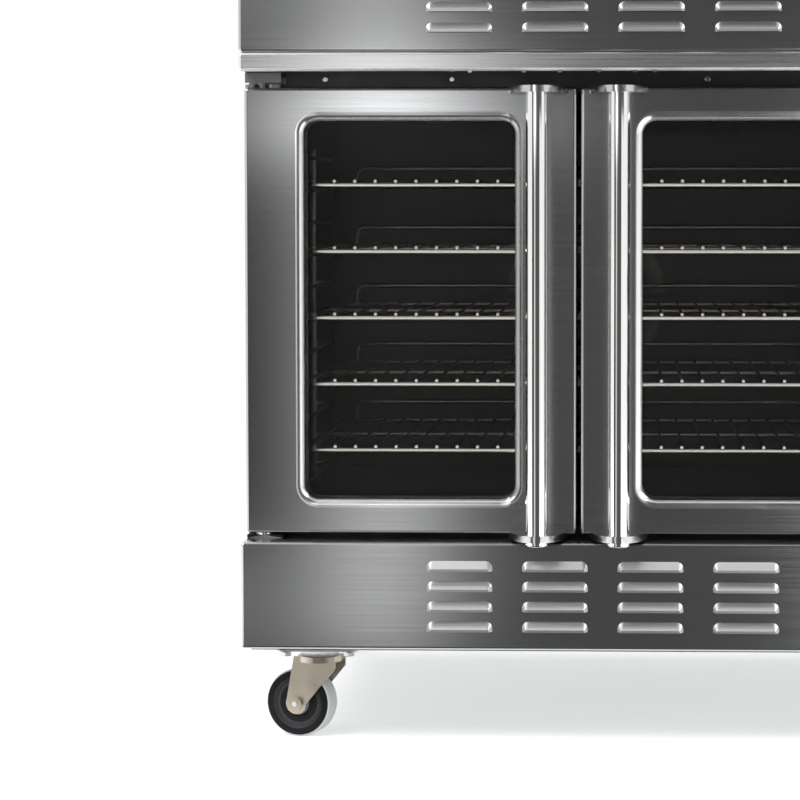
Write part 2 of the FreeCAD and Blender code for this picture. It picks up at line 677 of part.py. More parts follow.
def fan_baffle(deck):
    """Sheet in front of the blower with a spoked inlet grille, on four posts."""
    x_span = grown((OVEN_X - OVEN_WIDTH / 2, OVEN_X + OVEN_WIDTH / 2), -BAFFLE_SIDE_GAP)
    z_span = grown((deck.floor, deck.ceiling), -BAFFLE_END_GAP)
    y_span = (BAFFLE_FACE, BAFFLE_FACE + BAFFLE_SHEET)
    sheet = block(x_span, y_span, z_span)
    centre = Vector(OVEN_X, BAFFLE_FACE, deck.fan)
    through = Y_AXIS * BAFFLE_SHEET
    ring_pitch = (BAFFLE_PORT_RADIUS - BAFFLE_HUB_RADIUS) / BAFFLE_RINGS
    openings = []
    for ring in range(BAFFLE_RINGS):
        outer = BAFFLE_HUB_RADIUS + (ring + 1) * ring_pitch
        inner = outer - ring_pitch + BAFFLE_RING_WIDTH
        openings.append(rod(centre, centre + through, outer).cut(rod(centre, centre + through, inner)))
    spokes = []
    for number in range(BAFFLE_SPOKES):
        spoke = block((OVEN_X, OVEN_X + BAFFLE_PORT_RADIUS + BAFFLE_SPOKE_WIDTH), y_span,
                      (deck.fan - BAFFLE_SPOKE_WIDTH / 2, deck.fan + BAFFLE_SPOKE_WIDTH / 2))
        spoke.rotate(centre, Y_AXIS, number * 360 / BAFFLE_SPOKES)
        spokes.append(spoke)
    grille = sheet.cut([opening.cut(spokes) for opening in openings])
    solids = [grille]
    for x in grown(x_span, -BAFFLE_POST_INSET):
        for z in grown(z_span, -BAFFLE_POST_INSET):
            solids.append(rod(Vector(x, y_span[1], z), Vector(x, OVEN_BACK, z), BAFFLE_POST_RADIUS))
    return solids


def fan_wheel(deck):
    """Squirrel-cage blower: back plate, curved-set blades, front ring, hub and shaft."""
    front = BAFFLE_FACE + BAFFLE_SHEET + FAN_FRONT_GAP
    back = front + FAN_DEPTH

    def on_axis(y):
        return Vector(OVEN_X, y, deck.fan)

    plate = rod(on_axis(back - FAN_SHEET), on_axis(back), WHEEL_FAN_RADIUS)
    ring = rod(on_axis(front), on_axis(front + FAN_SHEET), WHEEL_FAN_RADIUS)
    ring = ring.cut(rod(on_axis(front), on_axis(front + FAN_SHEET), FAN_EYE_RADIUS))
    hub = rod(on_axis(back - FAN_HUB_LENGTH), on_axis(back), FAN_HUB_RADIUS)
    shaft = rod(on_axis(back), on_axis(motor_front() + FAN_SHAFT_GRIP), FAN_SHAFT_RADIUS)
    blade_x = OVEN_X + (WHEEL_FAN_RADIUS + FAN_EYE_RADIUS) / 2
    blade = block((blade_x - FAN_BLADE_DEPTH / 2, blade_x + FAN_BLADE_DEPTH / 2),
                  (front + FAN_SHEET / 2, back - FAN_SHEET / 2),
                  (deck.fan - FAN_SHEET / 2, deck.fan + FAN_SHEET / 2))
    blade.rotate(Vector(blade_x, front, deck.fan), Y_AXIS, FAN_BLADE_TURN)
    blades = []
    for number in range(FAN_BLADES):
        copy = blade.copy()
        copy.rotate(on_axis(front), Y_AXIS, number * 360 / FAN_BLADES)
        blades.append(copy)
    return plate.fuse([ring, hub, shaft] + blades).removeSplitter()


def motor_front():
    return LINER_BACK + MOTOR_FLANGE_SHEET


def fan_motor(deck):
    """Flange-mounted motor with a ribbed barrel, bored for the blower shaft."""
    def on_axis(y):
        return Vector(OVEN_X, y, deck.fan)

    half = MOTOR_FLANGE / 2
    front = motor_front()
    barrel_front = front + MOTOR_NECK
    barrel_back = barrel_front + MOTOR_LENGTH
    flange = rounded_prism((OVEN_X - half, OVEN_X + half), (deck.fan - half, deck.fan + half),
                           MOTOR_NECK, (LINER_BACK, front))
    neck = rod(on_axis(front), on_axis(barrel_front), MOTOR_NECK_RADIUS)
    barrel = rod(on_axis(barrel_front), on_axis(barrel_back), MOTOR_RADIUS)
    grooves = []
    for number in range(MOTOR_RIBS):
        groove = block((OVEN_X + MOTOR_RADIUS - MOTOR_RIB_DEPTH, OVEN_X + MOTOR_RADIUS + MOTOR_RIB_DEPTH),
                       (barrel_front + MOTOR_RIB_END, barrel_back - MOTOR_RIB_END),
                       (deck.fan - MOTOR_RIB_WIDTH / 2, deck.fan + MOTOR_RIB_WIDTH / 2))
        groove.rotate(on_axis(front), Y_AXIS, number * 360 / MOTOR_RIBS)
        grooves.append(groove)
    bore = rod(on_axis(LINER_BACK), on_axis(front + FAN_SHAFT_GRIP + FIT),
               FAN_SHAFT_RADIUS + RUNNING_CLEARANCE)
    return flange.fuse([neck, barrel]).removeSplitter().cut(grooves + [bore])


# Gas, flue and lamps

def gas_train(deck):
    """Hollow tube burners on a cross pipe, and the inlet pipe from its union out through the back."""
    inlet = gas_inlet(deck)
    pipe_y = BACK - MANIFOLD_BACK
    z = inlet.z
    first = OVEN_X - (BURNER_COUNT - 1) / 2 * BURNER_PITCH

    def pipes(inset):
        start = first - BURNER_RADIUS - MANIFOLD_OVERRUN + inset
        manifold = rod(Vector(start, pipe_y, z), Vector(inlet.x, pipe_y, z), MANIFOLD_RADIUS - inset)
        burners = []
        for number in range(BURNER_COUNT):
            x = first + number * BURNER_PITCH
            front = OVEN_FRONT + BURNER_FRONT + inset
            burners.append(rod(Vector(x, front, z), Vector(x, pipe_y, z), BURNER_RADIUS - inset))
        return manifold.fuse(burners).removeSplitter()

    half = GAS_UNION / 2
    union = block(grown((inlet.x, inlet.x), half), grown((pipe_y, pipe_y), half), grown((z, z), half))
    train = pipes(0).fuse(union).removeSplitter().cut(pipes(PIPE_WALL))
    outlet = rod(Vector(inlet.x, pipe_y, z), Vector(inlet.x, pipe_y + half, z), GAS_NIPPLE_RADIUS - PIPE_WALL)
    pipe_start = Vector(inlet.x, pipe_y + half, z)
    pipe_end = inlet + Y_AXIS * GAS_INLET_REACH
    pipe = rod(pipe_start, inlet, GAS_NIPPLE_RADIUS).fuse(rod(inlet, pipe_end, GAS_PIPE_RADIUS))
    bore = rod(pipe_start, pipe_end, GAS_NIPPLE_RADIUS - PIPE_WALL)
    return [train.cut(outlet), pipe.cut(bore).removeSplitter()]


def flue_box(deck):
    """Open-topped sheet box on the back that turns the flue gas upwards."""
    x_span, z_span = flue_span(deck)
    outer = block(x_span, (BACK, BACK + FLUE_DEPTH), z_span)
    inner = block(grown(x_span, -SHEET), (BACK, BACK + FLUE_DEPTH - SHEET), (z_span[0] + SHEET, z_span[1]))
    flanges = [block(span(x, x + side * FLUE_FLANGE), (BACK, BACK + SHEET), z_span)
               for x, side in zip(x_span, (-1, 1))]
    return outer.cut(inner).fuse(flanges).removeSplitter()


def oven_lamps(deck):
    """Two ceiling lamps under domed glass."""
    sphere_radius = (LAMP_RADIUS ** 2 + LAMP_DOME ** 2) / (2 * LAMP_DOME)
    solids = []
    for side in SIDES.values():
        spot = Vector(OVEN_X + side * LAMP_OFFSET, OVEN_FRONT + LAMP_SETBACK, deck.ceiling)
        rim = Part.makeCylinder(LAMP_RADIUS, LAMP_RIM, spot, -Z_AXIS)
        ball = Part.makeSphere(sphere_radius, spot + Z_AXIS * (sphere_radius - LAMP_DOME - LAMP_RIM))
        below = Part.makeCylinder(sphere_radius, LAMP_DOME, spot - Z_AXIS * LAMP_RIM, -Z_AXIS)
        solids.append(rim.fuse(ball.common(below)).removeSplitter())
    return solids


# Doors

def door_gasket(deck):
    """Round-cornered seal on the face frame around the oven mouth."""
    x_span = (OVEN_X - OVEN_WIDTH / 2, OVEN_X + OVEN_WIDTH / 2)
    z_span = (deck.floor, deck.ceiling)
    y_span = (DOOR_BACK + FIT, FRAME_FACE)
    outer = rounded_prism(grown(x_span, GASKET_WIDTH), grown(z_span, GASKET_WIDTH), GASKET_CORNER, y_span)
    return outer.cut(rounded_prism(x_span, z_span, GASKET_CORNER - GASKET_WIDTH, y_span))


class Door:
    """The places of one door leaf; distances run from its hinge edge to the meeting line."""

    def __init__(self, deck, side):
        self.deck = deck
        self.side = side
        self.hinge_edge = OVEN_X + side * DOORS_WIDTH / 2
        self.hinge_x = self.x(HINGE_INSET)
        self.handle_x = self.x(DOOR_WIDTH - HANDLE_INSET)
        self.x_span = span(self.x(0), self.x(DOOR_WIDTH))
        self.z_span = (deck.door_bottom, deck.door_top)
        self.window_x = span(self.x(WINDOW_HINGE_STILE), self.x(DOOR_WIDTH - WINDOW_HANDLE_STILE))
        self.window_z = (deck.door_bottom + WINDOW_RAIL_BELOW, deck.door_top - WINDOW_RAIL_ABOVE)

    def x(self, distance):
        return self.hinge_edge - self.side * distance

    def hinge_bores(self, radius):
        low, high = self.z_span
        depth = HINGE_PIN_REACH + FIT
        return [
            Part.makeCylinder(radius, depth, Vector(self.hinge_x, HINGE_Y, low)),
            Part.makeCylinder(radius, depth, Vector(self.hinge_x, HINGE_Y, high - depth)),
        ]


def window_lip(door):
    """The rolled edge of the window opening: the curve of the sheet, carried around the window."""
    path = rounded_outline(door.window_x, door.window_z, WINDOW_CORNER, DOOR_FACE + LIP_DEPTH)
    start_x = door.window_x[1] - WINDOW_CORNER

    def at(radius, turn):
        return Vector(start_x, DOOR_FACE + LIP_RADIUS - radius * math.cos(turn),
                      door.window_z[0] - LIP_WIDTH + radius * math.sin(turn))

    outer = [at(LIP_RADIUS, turn) for turn in (0, LIP_TURN / 2, LIP_TURN)]
    inner = [at(LIP_RADIUS - SHEET, turn) for turn in (LIP_TURN, LIP_TURN / 2, 0)]
    section = Part.Wire([
        Part.Arc(*outer).toShape(),
        Part.LineSegment(outer[2], inner[0]).toShape(),
        Part.Arc(*inner).toShape(),
        Part.LineSegment(inner[2], outer[0]).toShape(),
    ])
    return path.makePipeShell([section], True, False)


def door_skin(door):
    """Folded outer skin whose window opening has a rolled lip."""
    pan = folded_pan(door.x_span, (DOOR_FACE, DOOR_FLANGE), door.z_span, EDGE_RADIUS)
    opening = rounded_prism(grown(door.window_x, LIP_WIDTH), grown(door.window_z, LIP_WIDTH),
                            WINDOW_CORNER + LIP_WIDTH, (DOOR_FACE, DOOR_FACE + SHEET))
    skin = pan.cut(opening).fuse(window_lip(door))
    return skin.cut(door.hinge_bores(HINGE_PIN_RADIUS + FIT)).removeSplitter()


def door_liner(door):
    """Inner pan with a plug that meets the seal, the tunnel that holds both panes, and the hinge stile.

    The plug stops short of the hinge edge, so that the corner there swings clear of the seal.
    """
    gap = SHEET + FIT
    flange_front = DOOR_FLANGE - SHEET
    plate_front = DOOR_BACK - SHEET
    plug_x = span(door.x(DOOR_PLUG_INSET), door.x(DOOR_WIDTH - DOOR_PLUG_MARGIN))
    plug_z = grown(door.z_span, -DOOR_PLUG_MARGIN)
    flange = rounded_prism(grown(door.x_span, -gap), grown(door.z_span, -gap), EDGE_RADIUS - gap,
                           (flange_front, DOOR_FLANGE))
    plug = block(plug_x, (flange_front, DOOR_BACK), plug_z)
    hollow = block(grown(plug_x, -SHEET), (flange_front, plate_front), grown(plug_z, -SHEET))
    window = rounded_prism(door.window_x, door.window_z, WINDOW_CORNER, (plate_front, DOOR_BACK))
    pan = flange.fuse(plug).cut([hollow, window])
    tunnel_y = (GLASS_FACE, plate_front)
    corner = WINDOW_CORNER + GLASS_LAP + FIT
    pocket = [grown(limits, GLASS_LAP + FIT) for limits in (door.window_x, door.window_z)]
    jacket = [grown(limits, TUNNEL_WALL) for limits in pocket]
    tunnel = rounded_prism(*jacket, corner + TUNNEL_WALL, tunnel_y)
    tunnel = tunnel.cut(rounded_prism(*pocket, corner, tunnel_y))
    stile = block(grown((door.hinge_x, door.hinge_x), HINGE_STILE_WIDTH / 2), (DOOR_FACE + gap, flange_front),
                  grown(door.z_span, -EDGE_RADIUS))
    liner = pan.fuse([tunnel, stile]).removeSplitter()
    return liner.cut(door.hinge_bores(HINGE_PIN_RADIUS + RUNNING_CLEARANCE))


def door_glass(door):
    """Outer and inner pane of the double glazing."""
    edges = [grown(limits, GLASS_LAP) for limits in (door.window_x, door.window_z)]
    corner = WINDOW_CORNER + GLASS_LAP + 2 * FIT
    panes = []
    for y in (GLASS_FACE, DOOR_BACK - SHEET - FIT - GLASS_THICKNESS):
        panes.append(rounded_prism(*edges, corner, (y, y + GLASS_THICKNESS)))
    return panes


def handle_foot(door, low):
    """Flared foot: half an ellipse in plan, bored for the bar."""
    def at(x, reach):
        return Vector(door.handle_x + x, DOOR_FACE - reach, low)

    ellipse = Part.Ellipse(at(0, HANDLE_REACH), at(HANDLE_FOOT_HALF_WIDTH, 0), at(0, 0))
    arc = Part.ArcOfEllipse(ellipse, -math.pi / 2, math.pi / 2).toShape()
    ends = [vertex.Point for vertex in arc.Vertexes]
    outline = Part.Wire([arc, Part.LineSegment(ends[1], ends[0]).toShape()])
    plate = Part.Face(outline).extrude(Vector(0, 0, HANDLE_FOOT_HEIGHT))
    bore = Part.makeCylinder(HANDLE_BAR_RADIUS + RUNNING_CLEARANCE, HANDLE_FOOT_HEIGHT, at(0, HANDLE_OFFSET))
    return plate.cut(bore)


def door_handle(door):
    """Full-height bar with rounded ends, held off the door by a foot at each end."""
    low = door.z_span[0] - HANDLE_BAR_DROP
    length = door.z_span[1] - low
    bar = Part.makeCylinder(HANDLE_BAR_RADIUS, length, Vector(door.handle_x, DOOR_FACE - HANDLE_OFFSET, low))
    rims = [e for e in bar.Edges if isinstance(e.Curve, Part.Circle)]
    feet = [handle_foot(door, z) for z in
            (door.z_span[0] - HANDLE_FOOT_DROP, door.z_span[1] - HANDLE_FOOT_HEIGHT)]
    return [bar.makeFillet(HANDLE_END_RADIUS, rims)] + feet


def hinge_brackets(door):
    """Top and bottom pivot brackets on the face frame, each with its pin."""
    x_span = span(door.x(DOOR_EDGE_GAP), door.x(HINGE_PLATE_WIDTH))
    y_span = (HINGE_Y - HINGE_PLATE_NOSE, FRAME_FACE)
    low, high = door.z_span
    pin_at = Vector(door.hinge_x, HINGE_Y, 0)

    rail = door.deck.rail
    plate = block(x_span, y_span, (rail - HINGE_PLATE, rail))
    lip = block(x_span, (FRAME_FACE - HINGE_PLATE, FRAME_FACE), (rail - HINGE_LIP_HEIGHT, rail))
    nose = block(x_span, (y_span[0], y_span[0] + HINGE_PLATE), (rail - HINGE_LIP_HEIGHT, rail))
    pin = Part.makeCylinder(HINGE_PIN_RADIUS, rail - high + HINGE_PIN_REACH,
                            pin_at + Z_AXIS * (high - HINGE_PIN_REACH))
    upper = plate.fuse([lip, nose, pin]).removeSplitter()

    ledge = door.deck.ledge
    plate = block(x_span, y_span, (ledge, ledge + HINGE_PLATE))
    washer = Part.makeCylinder(HINGE_WASHER_RADIUS, low - FIT - ledge, pin_at + Z_AXIS * ledge)
    pin = Part.makeCylinder(HINGE_PIN_RADIUS, low + HINGE_PIN_REACH - ledge, pin_at + Z_AXIS * ledge)
    lower = plate.fuse([washer, pin]).removeSplitter()
    return [upper, lower]


# Control panel

def control_panel(deck):
    """Folded panel with the bodies of the thermostat, the timer and the switch behind it."""
    z_span = (deck.door_bottom, deck.door_top)
    pan = folded_pan((CONTROL_LEFT, RIGHT), (DOOR_FACE, FRAME_FACE), z_span, EDGE_RADIUS)
    behind = DOOR_FACE + SHEET
    solids = []
    holes = []
    for drop in KNOB_DROP:
        axis = Vector(CONTROL_X, DOOR_FACE, deck.door_top - drop)
        bore = rod(axis, axis + Y_AXIS * (KNOB_SHAFT_LENGTH + FIT), KNOB_SHAFT_RADIUS + RUNNING_CLEARANCE)
        holes.append(bore)
        body = block(grown((axis.x, axis.x), CONTROL_BODY / 2), (behind, behind + CONTROL_BODY_DEPTH),
                     grown((axis.z, axis.z), CONTROL_BODY / 2))
        solids.append(body.cut(bore))
    switch = Vector(CONTROL_X, DOOR_FACE, deck.door_top - SWITCH_DROP)
    mouth_x = grown((switch.x, switch.x), SWITCH_WIDTH / 2 + SWITCH_GAP)
    mouth_z = grown((switch.z, switch.z), SWITCH_HEIGHT / 2 + SWITCH_GAP)
    holes.append(block(mouth_x, (DOOR_FACE, behind), mouth_z))
    case = block(grown(mouth_x, SWITCH_CASE_WALL), (behind, behind + SWITCH_CASE_DEPTH),
                 grown(mouth_z, SWITCH_CASE_WALL))
    pocket = block(mouth_x, (behind, behind + SWITCH_CASE_DEPTH - SWITCH_CASE_WALL), mouth_z)
    pivot = switch_pivot(deck)
    reach = SWITCH_WIDTH / 2 + SWITCH_PIVOT_LENGTH + FIT
    bores = rod(pivot - X_AXIS * reach, pivot + X_AXIS * reach, SWITCH_PIVOT_RADIUS + RUNNING_CLEARANCE)
    solids.append(case.cut([pocket, bores]))
    for spot in lens_places(deck):
        holes.append(rod(spot, spot + Y_AXIS * SHEET, LENS_RADIUS + RUNNING_CLEARANCE))
    return [pan.cut(holes)] + solids


def lens_places(deck):
    z = deck.door_top - LENS_DROP
    return [Vector(CONTROL_X + side * LENS_SPACING / 2, DOOR_FACE, z) for side in (-1, 1)]


def indicator_lenses(deck):
    """Small domed lenses of the power and heat lamps."""
    sphere_radius = (LENS_RADIUS ** 2 + LENS_PROUD ** 2) / (2 * LENS_PROUD)
    solids = []
    for spot in lens_places(deck):
        stem = rod(spot, spot + Y_AXIS * 2 * SHEET, LENS_RADIUS)
        ball = Part.makeSphere(sphere_radius, spot + Y_AXIS * (sphere_radius - LENS_PROUD))
        dome = ball.common(rod(spot - Y_AXIS * LENS_PROUD, spot, sphere_radius))
        solids.append(stem.fuse(dome).removeSplitter())
    return solids


def knob(deck, drop):
    """Skirted knob with a raised grip bar, on a shaft through the panel."""
    axis = Vector(CONTROL_X, DOOR_FACE - KNOB_LIFT, deck.door_top - drop)

    def out(distance):
        return axis - Y_AXIS * distance

    skirt = Part.makeCone(KNOB_SKIRT_RADIUS, KNOB_RADIUS, KNOB_SKIRT_HEIGHT, axis, -Y_AXIS)
    body = rod(out(KNOB_SKIRT_HEIGHT), out(KNOB_HEIGHT), KNOB_RADIUS)
    shoulder_y = (out(KNOB_HEIGHT).y, out(KNOB_HEIGHT - KNOB_GRIP_HEIGHT).y)
    grip_x = grown((axis.x, axis.x), KNOB_GRIP_WIDTH / 2)
    whole_x = grown((axis.x, axis.x), KNOB_RADIUS)
    whole_z = grown((axis.z, axis.z), KNOB_RADIUS)
    shoulders = [block((whole_x[0], grip_x[0]), shoulder_y, whole_z),
                 block((grip_x[1], whole_x[1]), shoulder_y, whole_z)]
    body = body.cut(shoulders)
    shaft = rod(axis, axis + Y_AXIS * (KNOB_SHAFT_LENGTH + KNOB_LIFT), KNOB_SHAFT_RADIUS)
    return skirt.fuse([body, shaft]).removeSplitter()


def switch_pivot(deck):
    return Vector(CONTROL_X, DOOR_FACE + SWITCH_DEPTH, deck.door_top - SWITCH_DROP)


def power_switch(deck):
    """Rocker with a hollowed face on two pivot stubs, resting tilted to off."""
    pivot = switch_pivot(deck)
    half = SWITCH_HEIGHT / 2 - SWITCH_PROUD
    face = DOOR_FACE - SWITCH_PROUD
    outline = [(pivot.z - half, DOOR_FACE + SWITCH_DEPTH), (pivot.z - half, face),
               (pivot.z, face + SWITCH_PROUD / 2), (pivot.z + half, face),
               (pivot.z + half, DOOR_FACE + SWITCH_DEPTH)]
    points = [Vector(pivot.x - SWITCH_WIDTH / 2, y, z) for z, y in outline]
    rocker = Part.Face(Part.makePolygon(points + points[:1])).extrude(X_AXIS * SWITCH_WIDTH)
    reach = SWITCH_WIDTH / 2 + SWITCH_PIVOT_LENGTH
    stubs = rod(pivot - X_AXIS * reach, pivot + X_AXIS * reach, SWITCH_PIVOT_RADIUS)
    rocker = rocker.fuse(stubs).removeSplitter()
    rocker.rotate(pivot, X_AXIS, SWITCH_TILT)
    return rocker


# Assembly

def oven_nodes():
    nodes = {}

    def add(name, solids):
        nodes.setdefault(name, []).extend(solids if isinstance(solids, list) else [solids])

    add("base_pan", base_pan())
    for name, place in caster_places().items():
        add("caster_plates", caster_plate(place))
        add(f"{name}_caster_fork", caster_fork(place))
        add(f"{name}_caster_wheel", caster_wheel(place))

    rack = wire_rack()
    for number, deck_name in enumerate(DECKS):
        deck = Deck(number)
        add("louvre_panels", louvre_panel(deck))
        add("top_panels", top_panel(deck))
        add("back_panels", back_panel(deck))
        add("front_frames", front_frame(deck))
        add("cavity_liners", cavity_liner(deck))
        add("insulation", insulation(deck))
        add("fan_baffles", fan_baffle(deck))
        add("fan_motors", fan_motor(deck))
        add("gas_trains", gas_train(deck))
        add("flue_boxes", flue_box(deck))
        add("lamp_lenses", oven_lamps(deck) + indicator_lenses(deck))
        add("door_gaskets", door_gasket(deck))
        add("control_panels", control_panel(deck))
        add(f"{deck_name}_fan_wheel", fan_wheel(deck))
        add(f"{deck_name}_power_switch", power_switch(deck))
        for knob_name, drop in zip(KNOB_NAMES, KNOB_DROP):
            add(f"{deck_name}_{knob_name}", knob(deck, drop))
        for side_name, side in SIDES.items():
            door = Door(deck, side)
            door_name = f"{deck_name}_{side_name}_door"
            add("side_panels", side_panel(deck, side))
            add("rack_guides", rack_guide(deck, side))
            add("hinge_brackets", hinge_brackets(door))
            add(f"{door_name}_skin", door_skin(door))
            add(f"{door_name}_liner", door_liner(door))
            add(f"{door_name}_glass", door_glass(door))
            add(f"{door_name}_handle", door_handle(door))
        for shelf in range(RACK_COUNT):
            rung = RACK_FIRST_RUNG + (RACK_COUNT - 1 - shelf) * RACK_RUNG_STEP
            lift = Vector(0, 0, rung_height(deck, rung) + RACK_LIFT)
            add(f"{deck_name}_rack_{shelf + 1}", [piece.translated(lift) for piece in rack])
    return nodes


os.makedirs("parts", exist_ok=True)
for node, pieces in oven_nodes().items():
    shape = pieces[0] if len(pieces) == 1 else Part.makeCompound(pieces)
    shape.exportStep(f"parts/{node}.step")
    sound = all(piece.isValid() and len(piece.Solids) == 1 for piece in pieces)
    print(f"{node}: {len(pieces)} solids, {shape.Volume / 1000:.1f} cm3, sound {sound}")
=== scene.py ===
# %% [markdown]
# # A stacked convection oven in stainless steel
# The imported model is the fixed frame of this lesson: every panel, door, rack and wheel is already there
# at its real size. What is left to do is what the eye sees: the finish of each surface, the screws, the
# dial marks, and the studio around the oven. The first cell loads the frame and keeps its box, and prints
# its height.

# %% Load the frame
import json
import math

import bpy
from mathutils import Matrix, Vector

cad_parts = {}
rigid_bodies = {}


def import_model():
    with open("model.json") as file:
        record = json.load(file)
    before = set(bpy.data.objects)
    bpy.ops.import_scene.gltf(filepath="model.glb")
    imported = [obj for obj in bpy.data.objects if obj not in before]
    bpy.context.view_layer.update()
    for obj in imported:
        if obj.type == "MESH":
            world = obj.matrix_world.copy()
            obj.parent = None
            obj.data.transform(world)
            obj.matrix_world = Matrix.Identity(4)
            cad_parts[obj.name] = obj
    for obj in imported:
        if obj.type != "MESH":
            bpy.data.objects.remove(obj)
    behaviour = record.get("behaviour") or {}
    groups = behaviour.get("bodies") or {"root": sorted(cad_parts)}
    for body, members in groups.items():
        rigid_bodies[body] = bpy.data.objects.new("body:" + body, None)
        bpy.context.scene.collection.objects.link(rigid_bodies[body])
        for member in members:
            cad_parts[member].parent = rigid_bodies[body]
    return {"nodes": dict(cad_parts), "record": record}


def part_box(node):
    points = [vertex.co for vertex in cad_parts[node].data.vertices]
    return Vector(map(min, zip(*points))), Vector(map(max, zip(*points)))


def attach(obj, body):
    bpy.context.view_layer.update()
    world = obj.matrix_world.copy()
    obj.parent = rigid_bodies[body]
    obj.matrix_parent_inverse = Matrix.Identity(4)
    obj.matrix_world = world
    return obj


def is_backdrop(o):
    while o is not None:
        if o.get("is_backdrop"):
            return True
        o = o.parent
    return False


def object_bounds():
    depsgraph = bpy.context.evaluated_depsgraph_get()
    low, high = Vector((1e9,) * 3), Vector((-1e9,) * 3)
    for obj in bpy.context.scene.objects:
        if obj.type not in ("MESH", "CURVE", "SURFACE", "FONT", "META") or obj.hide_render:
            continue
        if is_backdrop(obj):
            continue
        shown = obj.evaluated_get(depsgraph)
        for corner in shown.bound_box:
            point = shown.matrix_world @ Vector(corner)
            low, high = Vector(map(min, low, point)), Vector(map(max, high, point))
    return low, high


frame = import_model()
cad_low, cad_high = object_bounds()
nodes = frame["nodes"]
joints = frame["record"]["behaviour"]["joints"]
MM = 0.001
DECKS = ("lower", "upper")
SIDES = ("left", "right")
print(f"{len(nodes)} nodes, {len(joints)} joints, {(cad_high - cad_low).z:.3f} m high")

# %% [markdown]
# ## Helpers for materials
# Colours are written as sRGB hex values, the way a paint chart gives them, and shader sockets take linear
# light, so one function converts them. A second adds a node, sets its options and fills or links its
# inputs, which keeps each material down to a few lines. A third starts a material with its shader.

# %% Colours and nodes
def linear(hex_colour):
    channels = [int(hex_colour[i:i + 2], 16) / 255 for i in (1, 3, 5)]
    return [c / 12.92 if c <= 0.04045 else ((c + 0.055) / 1.055) ** 2.4 for c in channels] + [1.0]


def add_node(tree, kind, inputs, **settings):
    """Adds a node. Each input is a value, or the socket that it is linked from."""
    node = tree.nodes.new(kind)
    for name, value in settings.items():
        setattr(node, name, value)
    for socket, value in inputs.items():
        if isinstance(value, bpy.types.NodeSocket):
            tree.links.new(value, node.inputs[socket])
        else:
            node.inputs[socket].default_value = value
    return node


def start_material(name, colour, metallic, roughness):
    """A new material with its shader, and the Object coordinates that every pattern here reads."""
    material = bpy.data.materials.new(name)
    material.use_nodes = True
    tree = material.node_tree
    shader = tree.nodes["Principled BSDF"]
    shader.inputs["Base Color"].default_value = linear(colour)
    shader.inputs["Metallic"].default_value = metallic
    shader.inputs["Roughness"].default_value = roughness
    place = add_node(tree, "ShaderNodeTexCoord", {})
    return material, tree, shader, place


# %% [markdown]
# ## Helpers for selections and places
# An operator acts on all that is selected. One helper therefore adds an object with nothing else
# selected, and another picks the faces or edges that the next modelling step acts on, by where their
# middles are. Two more look up the middle of a piece and the joints of a kind, so that no place has to be
# typed in twice.

# %% Selections and places
def new_piece(add, **settings):
    """Adds an object with nothing else selected."""
    bpy.ops.object.select_all(action="DESELECT")
    add(**settings)
    return bpy.context.object


def select_parts(piece, parts, test):
    """Selects the faces or edges of a piece whose middle passes a test, and opens edit mode."""
    bpy.ops.object.mode_set(mode="EDIT")
    bpy.ops.mesh.select_mode(type="FACE" if parts == "polygons" else "EDGE")
    bpy.ops.mesh.select_all(action="DESELECT")
    bpy.ops.object.mode_set(mode="OBJECT")
    points = piece.data.vertices
    for part in getattr(piece.data, parts):
        corners = [points[i].co for i in part.vertices]
        part.select = test(sum(corners, Vector()) / len(corners))
    bpy.ops.object.mode_set(mode="EDIT")


def box_middle(node):
    low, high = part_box(node)
    return (low + high) / 2


def joints_of(kind):
    """The joints whose names end with a kind, such as door_hinge."""
    return [joint for joint in joints if joint["name"].endswith(kind)]


# %% [markdown]
# ## Camera
# The photo looks straight at the front with a long lens, and its frame is a crop of the lower left of the
# oven. A shifted lens gives such a crop without tilting the lines. A large shift would push the oven out
# of the frame when the camera walks round it, so part of the crop comes from turning the camera a little
# instead. From further back with a longer lens, that bends no line by more than a few pixels.

# %% Camera
PHOTO_SIDE = 800
FOCAL_PIXELS = 2978.9
SENSOR = 36.0
SHIFT = (-0.15, -0.05)
CAMERA_X = -25.8 * MM
CAMERA_HEIGHT = 659.0 * MM
CAMERA_DISTANCE = 3568 * MM
TURNED_LEFT = math.radians(2.105)
TILTED_DOWN = math.radians(3.013)

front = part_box("top_panels")[0].y
camera = new_piece(bpy.ops.object.camera_add,
                   location=(CAMERA_X, front - CAMERA_DISTANCE, CAMERA_HEIGHT),
                   rotation=(math.pi / 2 - TILTED_DOWN, 0, TURNED_LEFT))
camera.data.sensor_width = SENSOR
camera.data.lens = SENSOR * FOCAL_PIXELS / PHOTO_SIDE
camera.data.shift_x, camera.data.shift_y = SHIFT
bpy.context.scene.camera = camera
print(f"lens {camera.data.lens:.1f} mm")

# %% [markdown]
# ## White studio
# Floor and world are white to the camera, to reflections and through glass. To the rest of the light they
# are dimmer, because a white world at full strength would wash out the shadows. The Light Path node tells
# the two apart, which costs no extra lamp and keeps the object's colours as they are written.

# %% World and floor
AMBIENT = 0.6
FLOOR_SIDE = 60.0
FLOOR_GLOW = 0.5


def seen_directly(tree):
    """One for rays that show a surface: from the camera, from a reflection or through glass."""
    path = add_node(tree, "ShaderNodeLightPath", {})
    seen = add_node(tree, "ShaderNodeMath", {0: path.outputs["Is Camera Ray"],
                                             1: path.outputs["Is Glossy Ray"]}, operation="MAXIMUM")
    return add_node(tree, "ShaderNodeMath", {0: seen.outputs[0], 1: path.outputs["Is Transmission Ray"]},
                    operation="MAXIMUM").outputs[0]


